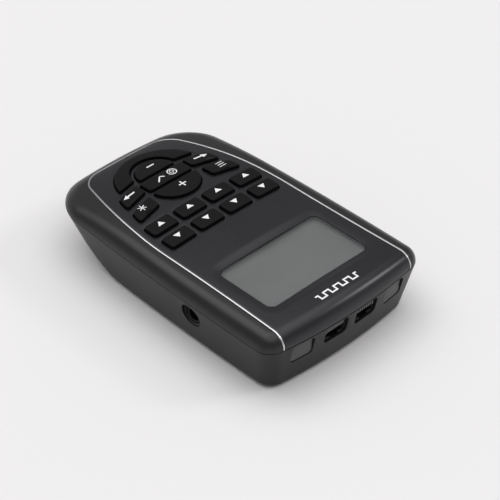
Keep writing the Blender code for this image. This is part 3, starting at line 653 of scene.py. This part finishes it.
def make_face_panel():
    offset = TRIM_WIDTH + TRIM_GAP
    loops = []
    lines = []
    path = trim_path(offset, PANEL_HEM)
    reach = path[0][0]
    rim = []
    count = 60
    for k in range(1, count):
        x = -reach + 2 * reach * k / count
        rim.append((x, HALF_LENGTH - CONNECTOR_END_CROWN * x * x - PANEL_HEM, 0.0))
    boundary = [(x, y, 0.1) for x, y in path] + rim
    loops.append(boundary)
    for extra, drop in ((0.12, 0.02), (0.4, 0.0)):
        lines.append([(x, y, drop) for x, y in trim_path(offset + extra, 0.5)])
    for angle in ROLL_ANGLES:
        inset = roll_inset(angle)
        if inset < PANEL_HEM + 0.1:
            continue
        ends = reach - 1.2
        lines.append([(x, HALF_LENGTH - CONNECTOR_END_CROWN * x * x - inset, 0.0)
                      for x in np.linspace(-ends, ends, 56)])
    lines = [[spot for spot in line if case_edge(spot[0], spot[1]) < -PANEL_HEM - 0.05] for line in lines]

    openings = []
    radius = 0.3
    for outline in KEY_OUTLINES.values():
        opening = offset_outline(outline, KEY_CLEARANCE)
        openings.append(opening)
        for distance in (0.0, 0.05, 0.14, 0.3):
            ring = offset_outline(opening, distance)
            loops.append([(x, y, fillet_drop(distance, radius)) for x, y in ring])
    window = subdivide(rounded_rectangle((0.0, WINDOW_Y), WINDOW_HALF, WINDOW_CORNER, 10), 1.6)
    openings.append(window)
    for distance in (0.0, 0.06, 0.16, 0.3, 0.8, 1.4, 2.0, 2.7, 3.4, 4.1, 4.7, 5.2):
        ring = offset_outline(window, distance)
        loops.append([(x, y, fillet_drop(distance, radius)) for x, y in ring])

    plan = [(x, y) for x, y, _ in boundary]

    def inside(points):
        good = in_polygon(points, plan)
        for opening in openings:
            good &= ~in_polygon(points, opening)
        return good

    points, triangles, _ = patch(loops, lines, (-42.0, -76.0), (42.0, 80.0), PLAN_STEP, inside)

    def under(x, y, _):
        return max(PART_Z + SEAM_GAP, min(face_height(x, y, PANEL_THICKNESS), panel_height(x, y) - 0.9))

    made = make_object("face_panel_moulding", *plate(points, triangles, panel_height, under), "panel")
    keep(made, "case", "panel", "face_panel")


def make_front_case():
    groove = trim_path(-TRIM_GAP, 0.0)
    crossing = math.atan2(groove[0][1], groove[0][0])
    around = [a if a < math.pi / 2 + 1e-9 else a - 2 * math.pi for a in RAYS]
    around = sorted(a for a in around if -math.pi * 1.5 < a)
    around = [a for a in around if a < crossing - 0.003 and a > -math.pi - crossing + 0.003]
    rim = [(x, y, 0.0) for x, y in trace(case_edge, around)]
    # the groove runs from the rim at +X to the rim at -X, and the case's rim closes the loop back to +X
    loops = [[(x, y, 0.1) for x, y in groove[1:-1]] + [(-groove[0][0], groove[0][1], 0.0)] + rim
             + [(groove[0][0], groove[0][1], 0.0)]]
    lines = [[(x, y, drop) for x, y in trim_path(-TRIM_GAP - extra, 0.6)]
             for extra, drop in ((0.12, 0.02), (0.4, 0.0))]
    for inset in [0.02] + [roll_inset(a) for a in ROLL_ANGLES]:
        ring = trace(lambda x, y: case_edge(x, y) + inset, around)
        run = []
        for x, y in ring + [(0.0, 0.0)]:
            if trim_edge(x, y) > TRIM_GAP + 0.75:
                run.append((x, y, 0.0))
            else:
                if len(run) > 2:
                    lines.append(run)
                run = []
    plan = [(x, y) for x, y, _ in loops[0]]

    def inside(points):
        return in_polygon(points, plan)

    points, triangles, _ = patch(loops, lines, (-50.0, -80.0), (50.0, 80.0), PLAN_STEP, inside)

    def top(x, y, drop):
        return max(PART_Z + SEAM_GAP + 0.3, face_height(x, y) - drop)

    def under(x, y, _):
        return max(PART_Z + SEAM_GAP, face_height(x, y, WALL))

    made = make_object("front_case_moulding", *plate(points, triangles, top, under), "case")
    keep(made, "case", "case", "front_shell")


def make_trim():
    """A crowned bright strip that follows the face and runs over the connector edge."""
    outer = trim_path(0.0, 0.07, 1.0)
    inner = trim_path(TRIM_WIDTH, 0.07, 1.0)
    sections = []
    last = len(outer) - 1
    shares = (0.0, 0.08, 0.3, 0.5, 0.7, 0.92, 1.0)
    first_height = face_height(*[(outer[0][k] + inner[0][k]) / 2 for k in range(2)])
    for i, (a, b) in enumerate(zip(outer, inner)):
        height = face_height(*[(a[k] + b[k]) / 2 for k in range(2)])
        near_end = min(i, last - i)
        narrow = 1.0
        if near_end < 12:
            rise = height - first_height
            narrow = min(1.0, math.sqrt(max(0.02, rise / 0.9)))
        section = []
        for share in shares:
            t = 0.5 + (share - 0.5) * narrow
            x, y = [a[k] + (b[k] - a[k]) * t for k in range(2)]
            section.append((x, y, face_height(x, y) + TRIM_CROWNING * (1 - (2 * share - 1) ** 2)))
        for share in (1.0, 0.0):
            t = 0.5 + (share - 0.5) * narrow
            x, y = [a[k] + (b[k] - a[k]) * t for k in range(2)]
            section.append((x, y, max(PART_Z + SEAM_GAP, face_height(x, y) - 1.2)))
        sections.append(section)
    made = make_object("bright_outline", *loft(sections), "bright")
    keep(made, "case", "bright", "bright_trim")


# ---------------------------------------------------------------- rear case

def port_outline(centre_x, half_width, low, high):
    return rounded_rectangle((centre_x, (low + high) / 2), (half_width, (high - low) / 2), PORT_CORNER, 8)


def port_cut(outline, edge):
    """A cutter through the connector wall with a softened mouth that follows the wall."""
    wide = offset_outline(outline, edge)
    middle = offset_outline(outline, edge * 0.3)
    return loft([[(x, PORT_CUT_Y[0], z) for x, z in outline],
                 [(x, connector_wall_y(x, z) - edge, z) for x, z in outline],
                 [(x, connector_wall_y(x, z) - edge * 0.3, z) for x, z in middle],
                 [(x, connector_wall_y(x, z) + 0.01, z) for x, z in wide],
                 [(x, PORT_CUT_Y[1], z) for x, z in wide]])


def make_rear_case():
    levels = [KEYPAD_ROUND * (1 - math.cos(math.radians(6 * k))) for k in range(15)]
    levels += [14.0, 16.0, 18.5, 21.0, 23.5, PART_Z - 0.15]
    rings = [[(x, y, z) for x, y in trace(lambda x, y, z=z: case_edge(x, y, z), RAYS)] for z in levels]
    for z, inset in ((PART_Z, 0.12), (PART_Z, WALL), (20.0, WALL), (12.0, WALL), (7.0, WALL), (FLOOR, WALL)):
        rings.append([(x, y, z) for x, y in trace(lambda x, y, z=z, i=inset: case_edge(x, y, z) + i, RAYS)])
    shell = make_object("rear_case_moulding", *loft(rings), "case")
    cuts = []
    for side in (-1, 1):
        cuts.append(port_cut(port_outline(side * SOCKET_X, SOCKET_HALF_WIDTH, *SOCKET_Z), PORT_EDGE))
        cuts.append(port_cut(port_outline(side * BLANK_X, BLANK_HALF_WIDTH, *BLANK_Z), PORT_EDGE))
    face_x = side_wall_x(JACK_Y, JACK_Z)
    cuts.append(turned(((JACK_NOSE + 0.3, 40.0), (JACK_NOSE + 0.3, face_x - JACK_RING_DEPTH),
                        (JACK_RING - 0.2, face_x - JACK_RING_DEPTH),
                        (JACK_RING, face_x - JACK_RING_DEPTH + 0.2),
                        (JACK_RING, face_x - 0.5), (JACK_RING + 0.1, face_x - 0.1),
                        (JACK_RING + 0.45, face_x + 0.6),
                        (JACK_RING + 0.45, face_x + 4.0)),
                       lambda u, v, w: (w, JACK_Y + u, JACK_Z + v)))
    for x, y in SCREW_SPOTS:
        cuts.append(turned(((3.5, -1.0), (3.5, 0.0), (3.1, 0.4), (3.1, FLOOR + 1.0)),
                           lambda u, v, w, cx=x, cy=y: (cx + u, cy + v, w)))
    carve(shell, [join_shapes(cuts)])
    recess = [soft_recess(rounded_rectangle((0.0, DOOR_Y), DOOR_HALF, DOOR_CORNER), DOOR_THICKNESS + 0.3),
              soft_recess(rounded_rectangle((0.0, DOOR_SCREW_Y - 1.5), (5.0, 6.0), 2.0),
                          DOOR_THICKNESS + 0.31)]
    carve(shell, recess)
    # The rear case takes the darker copy of the case black, which paints shade on its walls.
    shell.data.materials[0] = LOOKS["rear"]
    keep(shell, "case", "case", "rear_shell")


def soft_recess(outline, depth):
    """A cutter from below the back up to a depth, with a softened mouth."""
    wide = offset_outline(outline, 0.3)
    return loft([[(x, y, -1.0) for x, y in wide], [(x, y, -0.001) for x, y in wide],
                 [(x, y, 0.1) for x, y in offset_outline(outline, 0.1)],
                 [(x, y, 0.3) for x, y in outline], [(x, y, depth) for x, y in outline]])


def make_battery_door():
    half = (DOOR_HALF[0] - 0.3, DOOR_HALF[1] - 0.3)
    body = rounded_rectangle((0.0, DOOR_Y), half, DOOR_CORNER - 0.3)
    door = make_object("battery_door_moulding", *soft_prism(body, 0.0, DOOR_THICKNESS, 0.25, True), "case")
    tab_outline = rounded_rectangle((0.0, DOOR_SCREW_Y - 1.5), (4.7, 5.7), 1.7)
    tab = soft_prism(tab_outline, 0.0, DOOR_THICKNESS - 0.01, 0.2, True)
    carve(door, [tab], "UNION")
    cuts = [turned(((3.2, -1.0), (3.2, 0.0), (3.0, 0.15), (1.6, 1.0), (1.6, 3.0)),
                   lambda u, v, w: (u, DOOR_SCREW_Y + v, w))]
    for k in range(GROOVE_COUNT):
        y = GROOVE_START_Y + GROOVE_PITCH * k
        ring = rounded_rectangle((0.0, y), (8.2, 0.7), 0.65)
        cuts.append(loft([[(px, py, -1.0) for px, py in ring], [(px, py, 0.0) for px, py in ring],
                          [(px, py, 0.5) for px, py in offset_outline(ring, -0.3)]]))
    # an arrow pressed into the door, which shows the way it slides
    arrow = [(-1.0, -32.0), (1.0, -32.0), (1.0, -28.0), (3.0, -28.0), (0.0, -24.0), (-3.0, -28.0),
             (-1.0, -28.0)]
    cuts.append(prism(arrow, -1.0, 0.35))
    carve(door, [join_shapes(cuts)])
    keep(door, "case", "case", "battery_door")


# ---------------------------------------------------------------- display

def make_lens():
    half = [value - SEAM_GAP for value in WINDOW_HALF]
    outline = rounded_rectangle((0.0, WINDOW_Y), half, WINDOW_CORNER - SEAM_GAP, 10)
    made = make_object("display_window", *soft_prism(outline, *LENS_Z, 0.15), "lens")
    keep(made, "case", "lens", "display_lens")


# ---------------------------------------------------------------- keys and their marks

def key_top(x, y):
    return face_height(x, y) + KEY_PROUD


def make_key(name, outline):
    flange = offset_outline(outline, KEY_FLANGE)
    flange_top = min(face_height(x, y, PANEL_THICKNESS) for x, y in flange) - SEAM_GAP
    flange_low = flange_top - KEY_FLANGE_HEIGHT
    rings = [[(x, y, KEY_FOOT_Z) for x, y in outline]]
    rings += [[(x, y, level) for x, y in edge] for edge, level in
              ((outline, flange_low), (flange, flange_low), (flange, flange_top), (outline, flange_top))]
    ring = outline
    for turn in (0, 22, 45, 68, 90):
        inset = KEY_EDGE * (1 - math.cos(math.radians(turn)))
        drop = KEY_EDGE * (1 - math.sin(math.radians(turn)))
        ring = offset_outline(outline, -inset)
        rings.append([(x, y, key_top(x, y) - drop) for x, y in ring])
    points, faces = loft(rings)
    faces = faces[:-1]
    base = len(points) - len(ring)
    low = [min(point[k] for point in ring) for k in range(2)]
    high = [max(point[k] for point in ring) for k in range(2)]
    found, triangles, sources = patch([[(x, y, 0.0) for x, y in ring]], [], low, high, 1.4,
                                      lambda spots: in_polygon(spots, ring))
    place = {}
    for k, source in enumerate(sources):
        if source and min(source) < len(ring):
            place[k] = base + min(source)
        else:
            place[k] = len(points)
            points.append((found[k][0], found[k][1], key_top(found[k][0], found[k][1])))
    faces += [tuple(place[k] for k in face) for face in triangles]
    made = make_object(f"{name}_cap", points, faces, "key")
    keep(made, name, "key", name)


def printed(outline):
    """The shape of a thin raised mark on a key, from its plan outline."""
    outline = [point for i, point in enumerate(outline) if math.dist(point, outline[i - 1]) > 1e-4]
    return loft([[(x, y, key_top(x, y) - 0.1) for x, y in outline],
                 [(x, y, key_top(x, y) + MARK_HEIGHT) for x, y in outline]])


def bar(start, end, width):
    """A straight stroke with round ends."""
    angle = math.degrees(math.atan2(end[1] - start[1], end[0] - start[0]))
    half = width / 2
    far_end = arc(end, (half, half), angle - 90, angle + 90, 6)
    return far_end + arc(start, (half, half), angle + 90, angle + 270, 6)


def ring_stroke(centre, radius, width, start, end, steps):
    outer = arc(centre, (radius + width / 2, radius + width / 2), start, end, steps)
    inner = arc(centre, (radius - width / 2, radius - width / 2), end, start, steps)
    return outer + inner


def arrow_mark(centre, direction):
    """A long arrow: a thin shaft and a filled head."""
    x, y = centre
    tip = x + 3.9 * direction
    neck = x + 1.0 * direction
    tail = x - 3.7 * direction
    shaft = [(tail, y - 1.1), (neck, y - 0.45), (neck, y + 0.45), (tail, y - 0.2)]
    head = [(neck - 0.1 * direction, y - 1.5), (tip, y + 0.55), (neck, y + 1.5)]
    if direction < 0:
        shaft.reverse()
        head.reverse()
    return [shaft, head]


def key_marks():
    marks = {}
    for number in range(4):
        x = (number - 1.5) * KEY_PITCH
        for row, y, way in (("up", -6.0, 1), ("down", -18.0, -1)):
            triangle = [(x - 2.0, y - 1.25 * way), (x + 2.0, y - 1.25 * way), (x, y + 1.7 * way)]
            marks[f"key_{row}_{number + 1}"] = [triangle if way > 0 else triangle[::-1]]
    marks["key_forward"] = arrow_mark((22.8, -44.5), 1)
    marks["key_back"] = arrow_mark((-22.8, -44.5), -1)
    star = []
    for k in range(6):
        angle = math.radians(60 * k + 30)
        near = (25.1 + 0.62 * math.cos(angle), -32.8 + 0.62 * math.sin(angle))
        far = (25.1 + 2.0 * math.cos(angle), -32.8 + 2.0 * math.sin(angle))
        star.append(bar(near, far, 0.46))
    star.append(arc((25.1, -32.8), (0.37, 0.37), 0, 345, 15))
    marks["key_star"] = star
    marks["key_info"] = [bar((-27.0, -31.0 - 1.6 * k), (-23.2, -31.0 - 1.6 * k), 0.4) for k in range(3)]
    marks["key_minus"] = [bar((-2.9, -56.4), (1.1, -56.4), 0.75)]
    marks["key_plus"] = [bar((-2.9, -33.4), (0.9, -33.4), 0.7), bar((-1.0, -35.3), (-1.0, -34.15), 0.7),
                         bar((-1.0, -32.65), (-1.0, -31.5), 0.7)]
    marks["key_confirm"] = [bar((1.0, -44.2), (2.5, -45.7), 0.65), bar((3.2, -45.2), (5.8, -42.4), 0.65),
                            ring_stroke((-4.3, -44.6), 2.3, 0.5, 0, 355, 40),
                            bar((-4.3, -44.3), (-4.3, -43.2), 0.45),
                            ring_stroke((-4.3, -44.8), 1.1, 0.4, 130, 410, 20)]
    return marks


def stroke(line, width):
    """A closed outline around an open line whose turns are all square."""
    half = width / 2
    sides = ([], [])
    for i, here in enumerate(line):
        before = line[max(0, i - 1)]
        after = line[min(len(line) - 1, i + 1)]
        arriving = Vector(here) - Vector(before) if i else Vector(after) - Vector(here)
        leaving = Vector(after) - Vector(here) if i < len(line) - 1 else arriving
        shift = Vector((-arriving.y, arriving.x)).normalized()
        turned_shift = Vector((-leaving.y, leaving.x)).normalized()
        corner = shift if (shift - turned_shift).length < 0.01 else shift + turned_shift
        for side, sign in zip(sides, (-half, half)):
            side.append((here[0] + corner.x * sign, here[1] + corner.y * sign))
    return sides[0] + sides[1][::-1]


def make_panel_mark():
    """A generic pulse train printed on the panel, between the display and the sockets."""
    low, high = PULSE_Y
    line = [(-PULSE_REACH, low)]
    for k in range(PULSE_COUNT):
        rise = -PULSE_REACH + (2 * k + 1) * PULSE_REACH / PULSE_COUNT - PULSE_WIDTH / 2
        line += [(rise, low), (rise, high), (rise + PULSE_WIDTH, high), (rise + PULSE_WIDTH, low)]
    line.append((PULSE_REACH, low))
    outline = stroke(line, PULSE_LINE)
    top = [(x, y, panel_height(x, y) + 0.02) for x, y in outline]
    under = [(x, y, z - 0.1) for x, y, z in top]
    made = make_object("panel_pulse_mark", *loft([under, top]), "marking")
    keep(made, "case", "marking")


def make_marks():
    for name, outlines in key_marks().items():
        shapes = [printed(outline) for outline in outlines]
        made = make_object(f"{name}_mark", *join_shapes(shapes), "marking")
        keep(made, name, "marking")


# ---------------------------------------------------------------- connector end and inlet

def mouth_ring(outline, depth):
    """A socket's outline, at a depth behind its slanted front."""
    return [(x, connector_wall_y(x, z) - SOCKET_RECESS - depth, z) for x, z in outline]


def make_ports():
    for side, word in ((-1, "left"), (1, "right")):
        x = side * SOCKET_X
        low, high = SOCKET_Z
        front = connector_wall_y(x, low) - SOCKET_RECESS
        back = front - SOCKET_DEPTH
        half = SOCKET_HALF_WIDTH - SEAM_GAP
        seat = connector_wall_y(x, POWER_BOARD_TOP) - WALL - 2 * SEAM_GAP
        body = make_object(f"socket_body_{word}", *box((x - half - 0.9, back, POWER_BOARD_TOP + SEAM_GAP),
                                                       (x + half + 0.9, seat, high + 0.8)), "socket")
        nose = offset_outline(port_outline(x, SOCKET_HALF_WIDTH, low, high), -SEAM_GAP)
        carve(body, [loft([[(u, seat - 2.0, v) for u, v in nose], mouth_ring(nose, 0.3),
                           mouth_ring(offset_outline(nose, -0.2), 0.0)])], "UNION")
        inner = half - SOCKET_SHELL
        cavity = (low + SOCKET_SHELL, high - SOCKET_SHELL)
        mouth = rounded_rectangle((x, (cavity[0] + 0.5 + cavity[1]) / 2),
                                  (inner, (cavity[1] - cavity[0] - 0.5) / 2), 0.4, 3)
        wide = offset_outline(mouth, 0.35)
        hollow = loft([[(u, back + 1.5, v) for u, v in mouth], mouth_ring(mouth, 0.5),
                       mouth_ring(wide, -0.01), [(u, HALF_LENGTH, v) for u, v in wide]])
        slot = box((x - 2.6, back + 5.0, cavity[0] - 0.4), (x + 2.6, HALF_LENGTH, cavity[0] + 1.2))
        carve(body, [hollow, slot])
        keep(body, "case", "socket", f"output_socket_{word}")
        teeth_front = connector_wall_y(x, cavity[1] - 3.0) - SOCKET_RECESS - 0.3
        make_comb(word, x, (back + 1.8, teeth_front), cavity[1] - 0.05)
        make_blank(word, side * BLANK_X)


def make_comb(word, x, reach, top):
    """Sprung contacts lying between moulded ribs under the socket's roof."""
    half = CONTACT_COUNT * CONTACT_PITCH / 2
    ribs = [box((x - half, reach[0], top - 0.6), (x + half, reach[1], top))]
    wires = []
    for k in range(CONTACT_COUNT + 1):
        middle = x + (k - CONTACT_COUNT / 2) * CONTACT_PITCH
        outline = [(reach[0], top - 0.61), (reach[1], top - 0.61), (reach[1], top - 3.2),
                   (reach[1] - 1.0, top - 4.2), (reach[0], top - 4.2)]
        ribs.append(loft([[(middle - 0.25, y, z) for y, z in outline],
                          [(middle + 0.25, y, z) for y, z in outline]]))
        if k < CONTACT_COUNT:
            centre = middle + CONTACT_PITCH / 2
            ring = [(centre - 0.22, reach[1] - 0.9, top - 0.7), (centre + 0.22, reach[1] - 0.9, top - 0.7),
                    (centre + 0.22, reach[1] - 0.9, top - 1.0), (centre - 0.22, reach[1] - 0.9, top - 1.0)]
            low = [(px, reach[0] + 3.0, pz - 2.2) for px, _, pz in ring]
            wires.append(loft([ring, low]))
    comb = make_object(f"socket_comb_{word}", *join_shapes(ribs), "comb")
    keep(comb, "case", "socket")
    contacts = make_object(f"socket_wires_{word}", *join_shapes(wires), "contact")
    keep(contacts, "case", "contact", f"socket_contacts_{word}")


def blank_recess(z):
    """A blank's face stands nearly flush at the foot of its port, and lies deeper towards the seam."""
    low, high = BLANK_Z
    return BLANK_RECESS[0] + (BLANK_RECESS[1] - BLANK_RECESS[0]) * (z - low) / (high - low)


def make_blank(word, x):
    """A plate in an unused port, with a flange behind the wall."""
    port = port_outline(x, BLANK_HALF_WIDTH, *BLANK_Z)
    plate = offset_outline(port, -BLANK_CLEARANCE)
    flange = offset_outline(port, BLANK_FLANGE)
    seat = WALL + SEAM_GAP + 0.1
    steps = [(flange, seat + BLANK_FLANGE), (flange, seat), (plate, seat)]
    for turn in (0, 30, 60, 90):
        inset = 0.3 * (1 - math.cos(math.radians(turn)))
        back = 0.3 * (1 - math.sin(math.radians(turn)))
        steps.append((offset_outline(plate, -inset), back))
    rings = []
    for number, (outline, depth) in enumerate(steps):
        on_face = number > 2
        rings.append([(u, connector_wall_y(u, v) - depth - (blank_recess(v) if on_face else 0.0), v)
                      for u, v in outline])
    made = make_object(f"port_blank_plate_{word}", *loft(rings), "blank")
    keep(made, "case", "blank", f"port_blank_{word}")


def make_power_inlet():
    def place(u, v, w):
        return w, JACK_Y + u, JACK_Z + v

    face_x = side_wall_x(JACK_Y, JACK_Z)
    tip = face_x - JACK_RING_DEPTH - 0.1
    node_low, node_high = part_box("power_inlet")
    low = [value / MM for value in node_low]
    high = [value / MM for value in node_high]
    outline = rounded_rectangle(((low[0] + face_x - JACK_BODY_SETBACK) / 2, JACK_Y),
                                ((face_x - JACK_BODY_SETBACK - low[0]) / 2, 4.8), 0.5, 3)
    body = make_object("power_inlet_body", *soft_prism(outline, low[2], high[2], 0.3), "socket")
    nose = turned(((JACK_NOSE, low[0] + 2.0), (JACK_NOSE, tip - 0.25), (JACK_NOSE - 0.25, tip)), place)
    carve(body, [nose], "UNION")
    floor = low[0] + 1.5
    bore = turned(((JACK_BORE + 0.3, tip + 1.0), (JACK_BORE + 0.3, tip), (JACK_BORE, tip - 0.3),
                   (JACK_BORE, floor),
                   (JACK_PIN, floor), (JACK_PIN, face_x - JACK_PIN_DEPTH - 0.4),
                   (0.55, face_x - JACK_PIN_DEPTH)), place)
    carve(body, [bore])
    keep(body, "case", "socket", "power_inlet")


def make_screws():
    nodes = [(f"case_screw_{k + 1}", x, y, 8.9, 2.8, 1.8) for k, (x, y) in enumerate(SCREW_SPOTS)]
    nodes.append(("door_screw", 0.0, DOOR_SCREW_Y, 0.1, 2.7, 1.05))
    for name, x, y, seat, radius, head in nodes:
        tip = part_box(name)[1][2] / MM
        profile = ((0.2, seat), (radius - 0.5, seat + 0.05), (radius, seat + 0.4),
                   (radius, seat + head - 0.3),
                   (1.2, seat + head), (1.2, tip - 0.8), (0.3, tip))
        if name == "door_screw":
            profile = ((0.2, seat), (radius - 0.4, seat + 0.02), (radius - 0.1, seat + 0.15),
                       (1.3, seat + head),
                       (1.15, tip - 0.8), (0.3, tip))
        shape = turned(profile, lambda u, v, w: (x + u, y + v, w), 32)
        screw = make_object(f"{name}_turned", *shape, "steel")
        cross = [box((x - 1.6, y - 0.3, seat - 1), (x + 1.6, y + 0.3, seat + 0.6)),
                 box((x - 0.3, y - 1.6, seat - 1), (x + 0.3, y + 1.6, seat + 0.61))]
        carve(screw, cross)
        keep(screw, "case", "steel", name)


def dress_inner_nodes():
    """Inner parts keep their CAD shapes and get their looks."""
    looks = {
        "lcd_glass": "lcd", "lcd_backlight": "white_plastic", "control_board": "board",
        "power_board": "board", "keypad_mat": "mat", "battery_pack": "wrap",
        "battery_plug": "white_plastic", "battery_lead": "red_wire",
        "pulse_transformer": "ferrite", "storage_capacitor": "sleeve", "processor_chip": "chip",
        "board_link": "chip", "buzzer": "chip",
    }
    for name, look in looks.items():
        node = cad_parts[name]
        node.data.materials.clear()
        node.data.materials.append(LOOKS[look])


# ---------------------------------------------------------------- stage, light and camera

def make_stage():
    mesh = bpy.data.meshes.new("floor")
    reach = 8.0
    mesh.from_pydata([(-reach, -reach, -0.0002), (reach, -reach, -0.0002), (reach, reach, -0.0002),
                      (-reach, reach, -0.0002)], [], [(0, 1, 2, 3)])
    floor = bpy.data.objects.new("floor", mesh)
    bpy.context.scene.collection.objects.link(floor)
    LOOKS["floor"] = finish_material("floor_paper", (0.80, 0.788, 0.794), 0.9, bump=0.0, shade=0.0,
                                     wander=0.02)
    mesh.materials.append(LOOKS["floor"])


def make_light():
    world = bpy.data.worlds.new("studio")
    bpy.context.scene.world = world
    world.use_nodes = True
    tree = world.node_tree
    place = tree.nodes.new("ShaderNodeTexCoord")
    split = tree.nodes.new("ShaderNodeSeparateXYZ")
    ramp = tree.nodes.new("ShaderNodeValToRGB")
    link(tree, place, "Generated", split, "Vector")
    link(tree, split, "Z", ramp, "Fac")
    bands = ((0.0, 0.60), (0.16, 0.55), (0.32, 0.36), (0.50, 0.30), (0.68, 0.36), (0.80, 1.25), (0.90, 1.85),
             (1.0, 1.85))
    elements = ramp.color_ramp.elements
    while len(elements) < len(bands):
        elements.new(0.5)
    for element, (position, level) in zip(elements, bands):
        element.position = position
        element.color = (level, level, level, 1.0)
    link(tree, ramp, "Color", tree.nodes["Background"], "Color")
    tree.nodes["Background"].inputs["Strength"].default_value = 1.0

    softboxes = (("edge_softbox", (-0.66, 0.50, 0.56), 0.44, 14),
                 ("top_softbox", (0.12, -0.57, 0.81), 0.38, 40))
    for name, toward, strength, angle in softboxes:
        lamp = bpy.data.lights.new(name, "SUN")
        lamp.energy = strength
        lamp.angle = math.radians(angle)
        lamp.color = (0.99, 0.99, 1.0)
        softbox = bpy.data.objects.new(name, lamp)
        softbox.rotation_euler = Vector(toward).to_track_quat("Z", "Y").to_euler()
        bpy.context.scene.collection.objects.link(softbox)


def make_camera():
    lens = bpy.data.cameras.new("camera")
    lens.lens = 137.25
    lens.sensor_width = 36.0
    lens.clip_end = 30.0
    camera = bpy.data.objects.new("camera", lens)
    camera.location = [value * MM for value in (480.4, 509.8, 574.8)]
    azimuth = math.radians(135.928)
    elevation = math.radians(38.615)
    camera.rotation_euler = (math.pi / 2 - elevation, 0.0, azimuth)
    bpy.context.scene.collection.objects.link(camera)
    bpy.context.scene.camera = camera


make_face_panel()
make_front_case()
make_trim()
make_rear_case()
make_battery_door()
make_lens()
for key_name, key_outline in KEY_OUTLINES.items():
    make_key(key_name, key_outline)
make_marks()
make_panel_mark()
make_ports()
make_power_inlet()
make_screws()
dress_inner_nodes()
make_stage()
make_light()
make_camera()
bpy.context.scene.view_settings.view_transform = "Standard"
